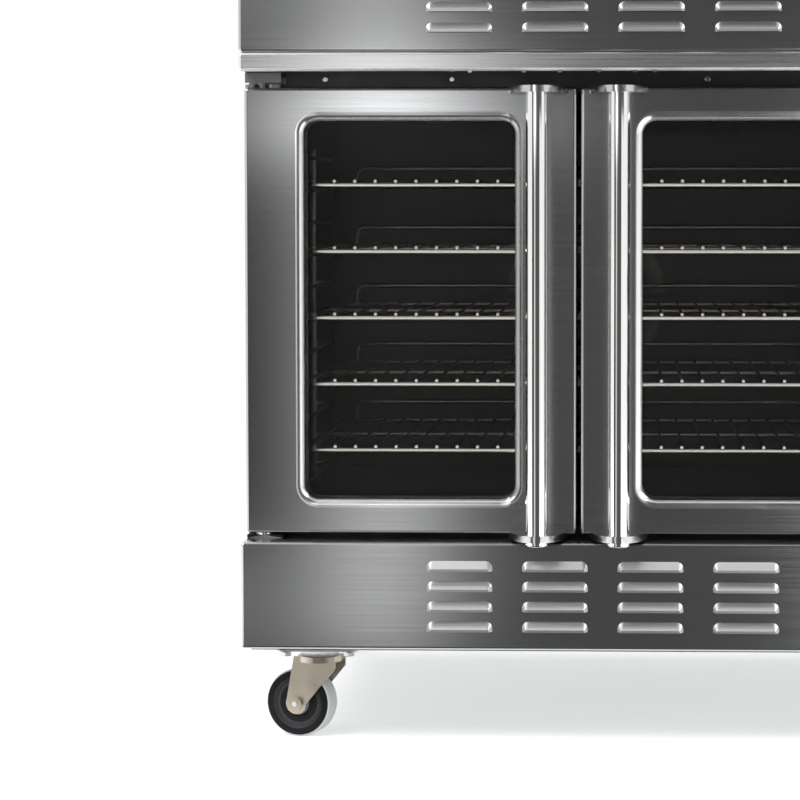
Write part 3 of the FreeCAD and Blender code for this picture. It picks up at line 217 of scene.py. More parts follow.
world = bpy.data.worlds.new("white_studio")
bpy.context.scene.world = world
world.use_nodes = True
sky = world.node_tree.nodes["Background"]
sky.inputs["Color"].default_value = linear("#ffffff")
level = add_node(world.node_tree, "ShaderNodeMapRange",
                 {"Value": seen_directly(world.node_tree), "To Min": AMBIENT, "To Max": 1.0})
world.node_tree.links.new(level.outputs[0], sky.inputs["Strength"])

floor = new_piece(bpy.ops.mesh.primitive_plane_add, size=FLOOR_SIDE)
floor.name = "studio_floor"
# Matt floor paint: pale, and rough enough to show only the soft shadow.
paint, tree, shader, _ = start_material("white_floor_paint", "#e8e8e8", 0.0, 0.7)
glow = add_node(tree, "ShaderNodeMath", {0: seen_directly(tree), 1: FLOOR_GLOW}, operation="MULTIPLY")
shader.inputs["Emission Color"].default_value = linear("#ffffff")
tree.links.new(glow.outputs[0], shader.inputs["Emission Strength"])
floor.data.materials.append(paint)
floor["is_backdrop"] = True
print("floor and world are white")

# %% [markdown]
# ## Graded board
# Steel has no colour of its own: it shows the room. Photographers therefore stand a graded board in front
# of such an oven, dark with one bright band, and leave the sides of the studio white. Lamps alone would
# give hard streaks instead. The board is a plane whose front edge is extruded upwards, with a flag
# extruded from its right edge. It is seen only by reflections, so it hides nothing and shades nothing.

# %% Shape of the board
BOARD_DISTANCE = 740 * MM
BOARD_LEFT = -900 * MM
BOARD_RIGHT = 300 * MM
BOARD_HEIGHT = 2600 * MM
BOARD_FOOT = 680 * MM
BOARD_LIFT = 1 * MM
FLAG_FOOT = 790 * MM
FLAG_WIDTH = 600 * MM

board_y = front - BOARD_DISTANCE
board = new_piece(bpy.ops.mesh.primitive_plane_add, size=1.0)
board.name = "graded_board"
bpy.ops.object.mode_set(mode="EDIT")
bpy.ops.transform.resize(value=(BOARD_RIGHT - BOARD_LEFT, BOARD_FOOT, 1))
bpy.ops.transform.translate(value=((BOARD_LEFT + BOARD_RIGHT) / 2, board_y + BOARD_FOOT / 2, BOARD_LIFT))
bpy.ops.object.mode_set(mode="OBJECT")
select_parts(board, "edges", lambda middle: middle.y < board_y + MM)
for rise in (FLAG_FOOT, BOARD_HEIGHT - FLAG_FOOT):
    bpy.ops.mesh.extrude_edges_move(TRANSFORM_OT_translate={"value": (0, 0, rise)})
bpy.ops.object.mode_set(mode="OBJECT")
select_parts(board, "edges", lambda middle: middle.x > BOARD_RIGHT - MM and middle.z > FLAG_FOOT)
bpy.ops.mesh.extrude_edges_move(TRANSFORM_OT_translate={"value": (FLAG_WIDTH, 0, 0)})
bpy.ops.object.mode_set(mode="OBJECT")
for rays in ("camera", "diffuse", "shadow", "transmission"):
    setattr(board, f"visible_{rays}", False)
print(f"board of {len(board.data.polygons)} faces")

# %% [markdown]
# ## Paper of the board
# The paper is dark and carries an airbrushed upright band, weaker towards the top, with a brighter glow
# at the height of the rail. Left of the band it shades off, lighter above and below the doors. All of it
# is worked out from the place on the board, so it needs no picture.

# %% Light of the band and the glow
BAND_X = -390 * MM
BAND_RADIUS = 100 * MM
BAND_LIGHT = 0.75
BAND_DIMMED = 0.76
DIM_FROM = 885 * MM
DIM_TO = 925 * MM
GLOW_RADIUS = 185 * MM
GLOW_Z = 785 * MM
GLOW_HEIGHT = 52 * MM
GLOW_LIGHT = 1.7


def squared_distance(tree, coordinate, centre, radius):
    """How far a coordinate is from a centre, in radii, squared."""
    away = add_node(tree, "ShaderNodeMapRange", {"Value": coordinate, "From Min": centre,
                                                 "From Max": centre + radius}, clamp=False)
    return add_node(tree, "ShaderNodeMath", {0: away.outputs[0], 1: 2}, operation="POWER").outputs[0]


def soft_glow(tree, light, *squares):
    """Light that falls off evenly from a centre, as an airbrushed spot does."""
    total = squares[0]
    for square in squares[1:]:
        total = add_node(tree, "ShaderNodeMath", {0: total, 1: square}, operation="ADD").outputs[0]
    fade = add_node(tree, "ShaderNodeMath", {0: total, 1: -1}, operation="MULTIPLY")
    fade = add_node(tree, "ShaderNodeMath", {0: fade.outputs[0]}, operation="EXPONENT")
    return add_node(tree, "ShaderNodeMath", {0: fade.outputs[0], 1: light}, operation="MULTIPLY").outputs[0]


# Matt black paper: it shines by its own graded light alone.
paper, tree, shader, place = start_material("graded_board_paper", "#000000", 0.0, 1.0)
shader.inputs["Specular IOR Level"].default_value = 0.0
spot = add_node(tree, "ShaderNodeSeparateXYZ", {0: place.outputs["Object"]})
band = soft_glow(tree, BAND_LIGHT, squared_distance(tree, spot.outputs["X"], BAND_X, BAND_RADIUS))
dimmed = add_node(tree, "ShaderNodeMapRange", {"Value": spot.outputs["Z"], "From Min": DIM_FROM,
                                               "From Max": DIM_TO, "To Min": 1.0, "To Max": BAND_DIMMED})
band = add_node(tree, "ShaderNodeMath", {0: band, 1: dimmed.outputs[0]}, operation="MULTIPLY").outputs[0]
glow = soft_glow(tree, GLOW_LIGHT, squared_distance(tree, spot.outputs["X"], BAND_X, GLOW_RADIUS),
                 squared_distance(tree, spot.outputs["Z"], GLOW_Z, GLOW_HEIGHT))
light = add_node(tree, "ShaderNodeMath", {0: band, 1: glow}, operation="ADD")
print(f"band at {BAND_X / MM:.0f} mm, glow at {GLOW_Z / MM:.0f} mm")

# %% Shade of the left side and the foot
BOARD_DARK = 0.09
LEFT_REACH = 250 * MM
LEFT_LIGHT = 0.16
LEFT_SHADE = -0.09
DOORS_MIDDLE = 530 * MM
DOORS_HALF = 340 * MM
DOORS_FADE = 70 * MM
FOOT_LIGHT = 0.1
FOOT_FLAT = 2 * MM
FOOT_FADE = 12 * MM

left = add_node(tree, "ShaderNodeMapRange", {"Value": spot.outputs["X"], "From Min": BAND_X,
                                             "From Max": BOARD_LEFT + LEFT_REACH})
off_doors = add_node(tree, "ShaderNodeMath", {0: spot.outputs["Z"], 1: DOORS_MIDDLE}, operation="SUBTRACT")
off_doors = add_node(tree, "ShaderNodeMath", {0: off_doors.outputs[0]}, operation="ABSOLUTE")
off_doors = add_node(tree, "ShaderNodeMapRange", {"Value": off_doors.outputs[0], "From Min": DOORS_HALF,
                                                  "From Max": DOORS_HALF + DOORS_FADE,
                                                  "To Min": LEFT_SHADE, "To Max": LEFT_LIGHT})
left = add_node(tree, "ShaderNodeMath", {0: left.outputs[0], 1: off_doors.outputs[0], 2: BOARD_DARK},
                operation="MULTIPLY_ADD")
light = add_node(tree, "ShaderNodeMath", {0: light.outputs[0], 1: left.outputs[0]}, operation="ADD")
upright = add_node(tree, "ShaderNodeMapRange", {"Value": spot.outputs["Z"], "From Min": FOOT_FLAT,
                                                "From Max": FOOT_FADE})
light = add_node(tree, "ShaderNodeMix", {0: upright.outputs[0], 2: FOOT_LIGHT, 3: light.outputs[0]})
shader.inputs["Emission Color"].default_value = linear("#ffffff")
tree.links.new(light.outputs[0], shader.inputs["Emission Strength"])
board.data.materials.append(paper)
board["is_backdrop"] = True
print(f"paper of {len(tree.nodes)} nodes")

# %% [markdown]
# ## Softboxes
# Large soft lamps give the soft shadows of a studio: the key from the upper left, a weaker fill from the
# right, and one behind the oven, so that its back can be seen as well. Area lamps do this with fewer
# samples than glowing planes would need.

# %% Softboxes
# Each lamp has a place in metres, the length of its side in metres and its power in watts.
SOFTBOXES = {
    "key_softbox": ((-2.2, -2.6, 3.0), 1.8, 110),
    "fill_softbox": ((2.6, -1.6, 2.2), 1.6, 45),
    "rear_softbox": ((0.6, 3.2, 2.8), 1.8, 60),
}
aim = (cad_low + cad_high) / 2
for name, (spot_at, side, power) in SOFTBOXES.items():
    direction = aim - Vector(spot_at)
    lamp = new_piece(bpy.ops.object.light_add, type="AREA", location=spot_at,
                     rotation=direction.to_track_quat("-Z", "Y").to_euler())
    lamp.name = name
    lamp.data.size = side
    lamp.data.energy = power
print(f"{len(SOFTBOXES)} softboxes")

# %% [markdown]
# ## Brushed stainless steel
# Stainless sheet is drawn under an abrasive belt, which leaves level lines along every panel and spreads
# the reflections sideways. A noise pattern, stretched along the panel, varies the roughness and a very
# slight bump. Anisotropic shading would also spread the light, but shows no lines close up.

# %% Brushed stainless steel
# Real belt lines are about a tenth of a millimetre apart, too fine to show, so they are drawn coarser.
GRAIN = 2.2 * MM
GRAIN_LENGTH = 220 * MM
GRAIN_SPAN = (0.3, 0.7)
GRAIN_RELIEF = 0.015


def brushed_steel(name, colour, roughness, spread):
    """Belt-ground sheet: level lines on upright faces, lines along the front on flat ones."""
    material, tree, shader, place = start_material(name, colour, 1.0, roughness)
    spot = add_node(tree, "ShaderNodeSeparateXYZ", {0: place.outputs["Object"]})
    normal = add_node(tree, "ShaderNodeSeparateXYZ", {0: place.outputs["Normal"]})
    flat = add_node(tree, "ShaderNodeMath", {0: normal.outputs["Z"]}, operation="ABSOLUTE")
    across = add_node(tree, "ShaderNodeMix", {0: flat.outputs[0], 2: spot.outputs["Z"], 3: spot.outputs["Y"]})
    along = add_node(tree, "ShaderNodeMath", {0: spot.outputs["X"], 1: spot.outputs["Y"]}, operation="ADD")
    lines = add_node(tree, "ShaderNodeCombineXYZ", {"X": along.outputs[0], "Z": across.outputs[0]})
    stretch = add_node(tree, "ShaderNodeMapping", {"Vector": lines.outputs[0],
                                                  "Scale": (1 / GRAIN_LENGTH, 1, 1 / GRAIN)})
    grain = add_node(tree, "ShaderNodeTexNoise", {"Vector": stretch.outputs[0], "Scale": 1.0, "Detail": 4.0})
    rough = add_node(tree, "ShaderNodeMapRange", {"Value": grain.outputs["Fac"], "From Min": GRAIN_SPAN[0],
                                                  "From Max": GRAIN_SPAN[1], "To Min": roughness - spread,
                                                  "To Max": roughness + spread})
    tree.links.new(rough.outputs[0], shader.inputs["Roughness"])
    bump = add_node(tree, "ShaderNodeBump", {"Height": grain.outputs["Fac"], "Strength": GRAIN_RELIEF,
                                             "Distance": MM})
    tree.links.new(bump.outputs[0], shader.inputs["Normal"])
    return material


# %% [markdown]
# ## Polished, galvanised and coated surfaces
# Tube and wire are smooth, and what shows on them is how they were wiped: clouds of a little more or less
# gloss. Hot-dipped zinc freezes in flat crystals, which a Voronoi pattern gives directly. Paint, enamel,
# rubber and plastic are a colour with fine flecks and a slight unevenness. Glass needs no pattern at all.

# %% Polished and galvanised metal
WIPED = 0.6
HAZED = 1.5
ZINC_ROUGHNESS = 0.38


def bright_metal(name, colour, roughness, cloud):
    """Smooth metal whose gloss varies a little in soft clouds, as after wiping."""
    material, tree, shader, place = start_material(name, colour, 1.0, roughness)
    clouds = add_node(tree, "ShaderNodeTexNoise", {"Vector": place.outputs["Object"], "Scale": 1 / cloud,
                                                  "Detail": 3.0})
    rough = add_node(tree, "ShaderNodeMapRange", {"Value": clouds.outputs["Fac"], "To Min": roughness * WIPED,
                                                  "To Max": roughness * HAZED})
    tree.links.new(rough.outputs[0], shader.inputs["Roughness"])
    return material


def galvanised_sheet(name, light, dark, spangle):
    """Hot-dipped zinc: flat crystals, each a slightly different grey."""
    material, tree, shader, place = start_material(name, light, 1.0, ZINC_ROUGHNESS)
    crystals = add_node(tree, "ShaderNodeTexVoronoi", {"Vector": place.outputs["Object"],
                                                      "Scale": 1 / spangle})
    tone = add_node(tree, "ShaderNodeSeparateColor", {0: crystals.outputs["Color"]})
    colour = add_node(tree, "ShaderNodeMix", {0: tone.outputs[0], 6: linear(light), 7: linear(dark)},
                      data_type="RGBA")
    tree.links.new(colour.outputs[2], shader.inputs["Base Color"])
    return material


# %% Coated surfaces and glass
FLECK_SPAN = (0.45, 0.75)
COAT_RELIEF = 0.08


def coated(name, colour, fleck, roughness, size, gloss=0.5):
    """Paint, enamel, rubber or plastic: a colour with fine flecks, and a surface that isn't quite smooth."""
    material, tree, shader, place = start_material(name, colour, 0.0, roughness)
    shader.inputs["Specular IOR Level"].default_value = gloss
    noise = add_node(tree, "ShaderNodeTexNoise", {"Vector": place.outputs["Object"], "Scale": 1 / size,
                                                 "Detail": 2.0})
    fine = add_node(tree, "ShaderNodeMapRange", {"Value": noise.outputs["Fac"], "From Min": FLECK_SPAN[0],
                                                 "From Max": FLECK_SPAN[1]})
    tint = add_node(tree, "ShaderNodeMix", {0: fine.outputs[0], 6: linear(colour), 7: linear(fleck)},
                    data_type="RGBA")
    tree.links.new(tint.outputs[2], shader.inputs["Base Color"])
    bump = add_node(tree, "ShaderNodeBump", {"Height": noise.outputs["Fac"], "Strength": COAT_RELIEF,
                                             "Distance": MM})
    tree.links.new(bump.outputs[0], shader.inputs["Normal"])
    return material


def clear_glass(name, colour, roughness, ior):
    material, _, shader, _ = start_material(name, colour, 0.0, roughness)
    shader.inputs["Transmission Weight"].default_value = 1.0
    shader.inputs["IOR"].default_value = ior
    return material


# %% [markdown]
# ## Finish of every node
# The record names a slot for each node, and the table below gives each slot its finish. The oven inside
# is sheet steel under dark porcelain enamel, which swallows nearly all the light that comes in through
# the windows, so that the racks stand out against it.

# %% Finish of every node
finishes = {
    # Belt-ground sheet: a soft sheen, drawn out across its lines.
    "stainless": brushed_steel("brushed_stainless", "#c4c5c6", 0.19, 0.03),
    # Tube polished on a wheel: sharp bright streaks along the bar.
    "polished": bright_metal("bright_stainless_tube", "#f0f0ee", 0.08, 60 * MM),
    # Hot-dipped sheet: a patchwork of flat grey crystals.
    "galvanised": galvanised_sheet("galvanised_sheet", "#b9bcbe", "#8f9497", 14 * MM),
    # Pressed steel with a passivated coat: dull and faintly warm.
    "zinc": bright_metal("passivated_zinc", "#cdc3b3", 0.33, 20 * MM),
    # Drawn wire under nickel: small sharp glints.
    "plated_wire": bright_metal("nickel_plated_wire", "#c6c6c2", 0.12, 30 * MM),
    # Fired porcelain enamel: dark grey with a weak shine.
    "enamel": coated("dark_porcelain_enamel", "#3a3a3c", "#464648", 0.5, 3 * MM, gloss=0.18),
    # Hammered paint: a mottled blue-grey skin.
    "motor_paint": coated("hammered_motor_paint", "#3a3f45", "#4c525a", 0.45, 4 * MM),
    # Black iron pipe: dark oxide with brown flecks.
    "gas_pipe": coated("black_iron_pipe", "#2a2a2b", "#3d3a37", 0.55, 3 * MM),
    # Float glass, coated against reflections, hence the low IOR: the racks show through it.
    "window_glass": clear_glass("coated_oven_glass", "#f8f7f6", 0.0, 1.12),
    # Etched glass: a milky dome.
    "lamp_glass": clear_glass("frosted_lamp_glass", "#f4f0e2", 0.35, 1.5),
    # Moulded silicone: matt black.
    "gasket": coated("silicone_seal", "#1c1c1d", "#2c2c2d", 0.6, 2 * MM),
    # Glass fibre: matt and yellowish.
    "wool": coated("glass_wool", "#d9d3a8", "#b8b083", 0.9, 5 * MM),
    # Moulded rubber: matt black, and on the casters only the ground for their rings.
    "tyre": coated("wheel_rubber", "#0f0f11", "#1c1c20", 0.5, 2 * MM),
    # Plastic from a satin mould: a broad weak shine.
    "knob_plastic": coated("satin_black_plastic", "#141415", "#202022", 0.4, 1 * MM),
}
for part in frame["record"]["subparts"]:
    mesh = nodes[part["node"]].data
    mesh.materials.clear()
    mesh.materials.append(finishes[part["material_slot"]])
print(f"{len(finishes)} finishes")

# %% [markdown]
# ## Faces that differ from the rest of their piece
# Some pieces carry more than one finish. A cut-out piece laid over such a face would show an edge, so the
# shape stays as it is, and only the material of single faces changes. One helper does this for all faces
# whose middle and direction pass a test.

# %% Helper for further finishes
def refinish(node, material, test):
    """Gives a further finish to the faces of a node whose middle and direction pass a test."""
    mesh = nodes[node].data
    mesh.materials.append(material)
    slot = len(mesh.materials) - 1
    count = 0
    for face in mesh.polygons:
        if test(face.center, face.normal):
            face.material_index = slot
            count += 1
    print(f"{node}: {count} faces of {material.name}")


def everywhere(middle, normal):
    return True


# %% [markdown]
# ## Rail, louvres and face frame
# The front rail is lighter steel than the panels, a painted highlight, and its lower hem is paler still, a
# painted highlight of the light from below. The louvre hoods are paler and rougher than the panels, a
# painted highlight of the light from above. The face frame behind the doors is dark grey: painted shade.

# %% Rail, louvres and face frame
EDGE_RADIUS = 4 * MM
HEM_SLOPE = 0.2
CLEAR_OF_SHEET = 0.2 * MM

# Lighter than the panels, a painted highlight, with a broad soft sheen.
rail_painted_highlight_steel = brushed_steel("cross_ground_stainless", "#ececea", 0.28, 0.04)
# Painted highlight: a pale even line under the rail.
hem_painted_highlight_steel = bright_metal("dull_folded_hem", "#f4f4f2", 0.6, 40 * MM)
# Paler than the panels: a painted highlight of the light from above, on rougher steel.
louvre_highlight_steel = brushed_steel("pressed_louvre_steel", "#dededc", 0.4, 0.04)
# Painted shade: dark grey steel in the slot behind the doors.
frame_painted_shade_steel = bright_metal("heat_darkened_steel", "#5c5c5a", 0.45, 40 * MM)


def on_rail(middle, normal):
    return middle.y < front + EDGE_RADIUS


refinish("top_panels", rail_painted_highlight_steel, on_rail)
refinish("top_panels", hem_painted_highlight_steel, lambda middle, normal: on_rail(middle, normal) and normal.z < -HEM_SLOPE)
refinish("louvre_panels", louvre_highlight_steel, lambda middle, normal: middle.y < front - CLEAR_OF_SHEET)
refinish("front_frames", frame_painted_shade_steel, everywhere)

# %% [markdown]
# ## Hinge brackets
# The brackets are grey passivated steel. The lower plates, which lie on the ledge under the doors, are
# flat black, painted shade, and the washers around the pins are bright, a painted highlight. The faces are
# told apart by their height over the ledge and their distance from the hinge line.

# %% Hinge brackets
HINGE_WASHER = 10.5 * MM
LEDGE_BELOW = 10 * MM
LEDGE_ABOVE = 30 * MM

# Plain grey.
bracket_steel = bright_metal("grey_passivated_steel", "#8d8c8a", 0.38, 20 * MM)
# Painted shade: flat black on the lower plates under the doors.
hinge_plate_painted_shade = coated("black_stove_paint", "#0c0c0d", "#161617", 0.5, 2 * MM, gloss=0.2)
# Painted highlight: a bright line on the rolled window lips and on the washers of the hinges.
lip_painted_highlight_steel = bright_metal("bright_rolled_lip", "#ececea", 0.2, 40 * MM)

door_low, door_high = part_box("lower_left_door_skin")
door_bottom, door_top, door_face = door_low.z, door_high.z, door_low.y
deck_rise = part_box("upper_left_door_skin")[0].z - door_bottom
hinge_axes = [Vector(joint["pos_m"][:2]) for joint in joints_of("door_hinge")]


def on_ledge(middle):
    return -LEDGE_BELOW < (middle.z - cad_low.z) % deck_rise - door_bottom < LEDGE_ABOVE


def on_washer(middle):
    return min((Vector(middle[:2]) - axis).length for axis in hinge_axes) < HINGE_WASHER


refinish("hinge_brackets", bracket_steel, everywhere)
refinish("hinge_brackets", hinge_plate_painted_shade, lambda middle, normal: on_ledge(middle) and not on_washer(middle))
refinish("hinge_brackets", lip_painted_highlight_steel, lambda middle, normal: on_ledge(middle) and on_washer(middle))

# %% [markdown]
# ## Indicator lenses
# Two small lenses sit above the thermostat, amber for power and green for heat. They share a node with
# the glass domes of the oven lamps, so only the faces near the front of the control panel are coloured.

# %% Indicator lenses
LENS_ROOM = 40 * MM
LENS_DEPTH = 5 * MM

# Moulded acrylic: clear warm and green colours with a sharp shine.
amber_lens = coated("amber_lens", "#d98a1c", "#f0a63a", 0.15, 1 * MM)
green_lens = coated("green_lens", "#2f9e4f", "#46b866", 0.15, 1 * MM)

lens_x = box_middle("lower_thermostat_knob").x
refinish("lamp_lenses", amber_lens, lambda middle, normal: (
    lens_x - LENS_ROOM < middle.x < lens_x and middle.y < door_face + LENS_DEPTH))
refinish("lamp_lenses", green_lens, lambda middle, normal: (
    middle.x > lens_x and middle.y < door_face + LENS_DEPTH))

# %% [markdown]
# ## Racks, guides, blowers and caster plates
# The wires behind the front bar of a rack are a darker grey than the bar. The front of each guide is pale
# and nearly matt, a painted highlight. The blowers are aluminised steel, and the plates over the casters
# are zinc-plated and stay clean.

# %% Racks, guides, blowers and caster plates
RACKS = 5
RACK_BAR = 10 * MM
GUIDE_REACH = 60 * MM

# Painted highlight: pale and nearly matt steel in place of the glints of the plated wire.
guide_painted_highlight = coated("scoured_guide_steel", "#a2a29f", "#c0c0bc", 0.4, 4 * MM)
# Darker grey than the front bar: wire that still glints.
darker_rear_wire = bright_metal("heat_tarnished_wire", "#6a6a67", 0.14, 30 * MM)
# Matt grey.
blower_steel = bright_metal("aluminised_steel", "#585856", 0.5, 25 * MM)
# Cool and pale.
plate_zinc = bright_metal("bright_zinc", "#e2e5e9", 0.45, 15 * MM)

guide_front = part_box("rack_guides")[0].y
refinish("rack_guides", guide_painted_highlight, lambda middle, normal: middle.y < guide_front + GUIDE_REACH)
refinish("caster_plates", plate_zinc, everywhere)
for deck in DECKS:
    refinish(f"{deck}_fan_wheel", blower_steel, everywhere)
    for number in range(1, RACKS + 1):
        rack = f"{deck}_rack_{number}"
        bar_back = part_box(rack)[0].y + RACK_BAR
        refinish(rack, darker_rear_wire, lambda middle, normal: middle.y > bar_back)

# %% [markdown]
# ## Window lips and handle feet
# The lip that is rolled around each window is brighter steel, a painted highlight. On the left doors it is
# greyer beside the handle, painted shade of the handle. The handles are polished tube, but their flared feet
# are brushed like the doors, so every face that lies off the tube's own surface is given the doors' steel.

# %% Window lips and handle feet
LIP_WIDTH = 16 * MM
BAR_RADIUS = 13 * MM

# Painted shade of the handle: greyer rolled steel, with a soft shine.
lip_painted_shade_steel = bright_metal("wiped_rolled_lip", "#a4a4a2", 0.25, 40 * MM)

for deck in DECKS:
    for side in SIDES:
        door = f"{deck}_{side}_door"
        low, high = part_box(f"{door}_glass")
        refinish(f"{door}_skin", lip_painted_highlight_steel, lambda middle, normal: (
            low.x - MM < middle.x < high.x + MM and low.z - MM < middle.z < high.z + MM))
        if side == "left":
            refinish(f"{door}_skin", lip_painted_shade_steel, lambda middle, normal: (
                abs(middle.x - high.x) < LIP_WIDTH and low.z < middle.z < high.z))
        bar_x = box_middle(f"{door}_handle").x
        bar_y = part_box(f"{door}_handle")[0].y + BAR_RADIUS
        refinish(f"{door}_handle", finishes["stainless"], lambda middle, normal: (
            math.hypot(middle.x - bar_x, middle.y - bar_y) > BAR_RADIUS + CLEAR_OF_SHEET))

# %% [markdown]
# ## Caster wheels
# A caster wheel of this size is a black moulded wheel, and its pale tread is a painted highlight. The
# colours lie in rings around the axle, so the material measures the distance from the axle line and reads
# the colour off a ramp. The axle's place and direction come from the joint that the wheel turns on.

# %% Ringed caster wheels
# Each ring starts at a radius in millimetres.
# The last ring, the pale tread, is a painted highlight.
WHEEL_RINGS = [(0, "#8d93a0"), (14.5, "#0c0c0e"), (24.5, "#3c3c41"), (32, "#040405"), (40, "#dcdee0")]
RAMP_REACH = 50.0
WHEEL_ROUGHNESS = 0.42
WHEEL_GLOSS = 0.25
WHEEL_GRIT = 2 * MM


def ringed_wheel(name, axle, direction):
    """Moulded rubber and plastic in rings around an axle: nearly matt, with a fine grit."""
    material, tree, shader, place = start_material(name, WHEEL_RINGS[0][1], 0.0, WHEEL_ROUGHNESS)
    shader.inputs["Specular IOR Level"].default_value = WHEEL_GLOSS
    away = add_node(tree, "ShaderNodeVectorMath", {0: place.outputs["Object"], 1: axle}, operation="SUBTRACT")
    turned = add_node(tree, "ShaderNodeVectorMath", {0: away.outputs[0], 1: direction},
                      operation="CROSS_PRODUCT")
    radius = add_node(tree, "ShaderNodeVectorMath", {0: turned.outputs[0]}, operation="LENGTH")
    share = add_node(tree, "ShaderNodeMath", {0: radius.outputs["Value"], 1: RAMP_REACH * MM},
                     operation="DIVIDE")
    rings = add_node(tree, "ShaderNodeValToRGB", {"Fac": share.outputs[0]})
    rings.color_ramp.interpolation = "CONSTANT"
    elements = rings.color_ramp.elements
    elements.remove(elements[1])
    for distance, colour in WHEEL_RINGS:
        element = elements[0] if distance == 0 else elements.new(distance / RAMP_REACH)
        element.color = linear(colour)
    tree.links.new(rings.outputs["Color"], shader.inputs["Base Color"])
    grit = add_node(tree, "ShaderNodeTexNoise", {"Vector": place.outputs["Object"], "Scale": 1 / WHEEL_GRIT})
    bump = add_node(tree, "ShaderNodeBump", {"Height": grit.outputs["Fac"], "Strength": COAT_RELIEF,
                                             "Distance": MM})
    tree.links.new(bump.outputs[0], shader.inputs["Normal"])
    return material


for joint in joints_of("_roll"):
    wheel = joint["child"]
    nodes[wheel].data.materials[0] = ringed_wheel(f"{wheel}_rubber", joint["pos_m"], joint["axis"])
print(len(joints_of("_roll")), "wheels of", len(WHEEL_RINGS), "rings")

# %% [markdown]
# ## Helpers for fittings
# Small fittings are modelled once, around the origin with their outer side up, and copied to their
# places. One helper turns a copy to face out of the front or the back, or down. Another joins the copies
# and hangs them on the body that they move with.

# %% Helpers for fittings
OUTWARD = {
    "front": Matrix.Rotation(math.pi / 2, 4, "X"),
    "back": Matrix.Rotation(-math.pi / 2, 4, "X"),
    "down": Matrix.Rotation(math.pi, 4, "X"),
}


def facing(side, x, y, z):
    return Matrix.Translation((x, y, z)) @ OUTWARD[side]


def apply_modifier(piece, kind, **settings):
    modifier = piece.modifiers.new(kind.lower(), kind)
    for name, value in settings.items():
        setattr(modifier, name, value)
    bpy.ops.object.select_all(action="DESELECT")
    piece.select_set(True)
    bpy.context.view_layer.objects.active = piece
    bpy.ops.object.modifier_apply(modifier=modifier.name)


def join_pieces(pieces, name, body, material):
    """Joins meshes into one named piece that moves with a body."""
    bpy.ops.object.select_all(action="DESELECT")
    for piece in pieces:
        piece.select_set(True)
    joined = pieces[0]
    bpy.context.view_layer.objects.active = joined
    if len(pieces) > 1:
        bpy.ops.object.join()
    joined.name = name
    joined.data.name = name
    joined.data.materials.clear()
    joined.data.materials.append(material)
    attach(joined, body)
    return joined


def place_copies(model, places, name, body, material):
    """Sets a copy of a finished model at each place and joins the copies into one piece."""
    copies = []
    for matrix in places:
        copy = model.copy()
        copy.data = model.data.copy()
        copy.data.transform(matrix)
        bpy.context.collection.objects.link(copy)
        copies.append(copy)
    join_pieces(copies, name, body, material)


# %% [markdown]
# ## Pan-head screw
# Sheet-metal ovens are held by pan-head screws with a cross recess. The head starts as a short cylinder
# whose upper rim is bevelled round. The cross is extruded from the four sides of a small cube and cut out
# of the top by a Boolean, which is quicker than modelling the recess face by face.

# %% Pan-head screw
HEAD_SIDES = 20
RIM_SHARE = 0.9
SCREW_RADIUS = 4.2 * MM
SCREW_HEIGHT = 2.6 * MM
SCREW_ROUNDING = 0.6 * SCREW_HEIGHT
RECESS_WIDTH = 1.1 * MM
RECESS_REACH = 1.6 * MM


def make_head(radius, height, rounding):
    """A round head that stands on the origin, with its upper rim rounded."""
    head = new_piece(bpy.ops.mesh.primitive_cylinder_add, vertices=HEAD_SIDES, radius=radius, depth=height)
    bpy.ops.object.mode_set(mode="EDIT")
    bpy.ops.transform.translate(value=(0, 0, height / 2))
    bpy.ops.object.mode_set(mode="OBJECT")
    select_parts(head, "edges", lambda middle: middle.z > height * RIM_SHARE)
    bpy.ops.mesh.bevel(offset=rounding, segments=3)
    bpy.ops.object.mode_set(mode="OBJECT")
    return head


cross = new_piece(bpy.ops.mesh.primitive_cube_add, size=RECESS_WIDTH)
select_parts(cross, "polygons", lambda middle: abs(middle.z) < RECESS_WIDTH / 4)
bpy.ops.mesh.extrude_faces_move(TRANSFORM_OT_shrink_fatten={"value": RECESS_REACH})
bpy.ops.mesh.select_all(action="SELECT")
bpy.ops.transform.translate(value=(0, 0, SCREW_HEIGHT))
bpy.ops.object.mode_set(mode="OBJECT")

screw = make_head(SCREW_RADIUS, SCREW_HEIGHT, SCREW_ROUNDING)
apply_modifier(screw, "BOOLEAN", object=cross, operation="DIFFERENCE", solver="EXACT")
bpy.data.objects.remove(cross)
# Rolled and plated steel: small bright points.
screw_steel = bright_metal("bright_screw_steel", "#d6d6d3", 0.2, 10 * MM)
print("screw", [round(value / MM, 2) for value in screw.dimensions], len(screw.data.polygons), "faces")

# %% [markdown]
# ## Screws of the body
# The screws of the face frame show in the slot above the doors, two each side of the middle. The back
# panels are screwed along their upright edges, the flue by its flanges, the control panels at their
# corners and the baffle on its posts. Every place is worked out from the box of the piece that the screw
# holds.

# %% Screws of the body
# Millimetres from the middle of the oven mouth.
FRAME_SCREWS = (-313, -157, 157, 313)
FRAME_SCREW_LIFT = 12 * MM
EDGE_MARGIN = 8 * MM
CONTROL_MARGIN = 16 * MM
PANEL_SCREW_ROWS = 5
FLUE_SCREW_ROWS = 3
FLUE_SHEET = 1.5 * MM
BAFFLE_MARGIN = 30 * MM


def even(low, high, count):
    return [low + (high - low) * number / (count - 1) for number in range(count)]


def inset(low, high, margin):
    return low + margin, high - margin


def screw_grid(side, columns, y, rows):
    """A place at every crossing of some columns and rows."""
    return [facing(side, x, y, z) for x in columns for z in rows]


oven_x = box_middle("door_gaskets").x
frame_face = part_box("front_frames")[0].y
panel_low, panel_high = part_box("side_panels")
back_low, back_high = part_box("back_panels")
flue_low, flue_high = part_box("flue_boxes")
baffle_low, baffle_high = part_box("fan_baffles")
control_low, control_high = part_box("control_panels")

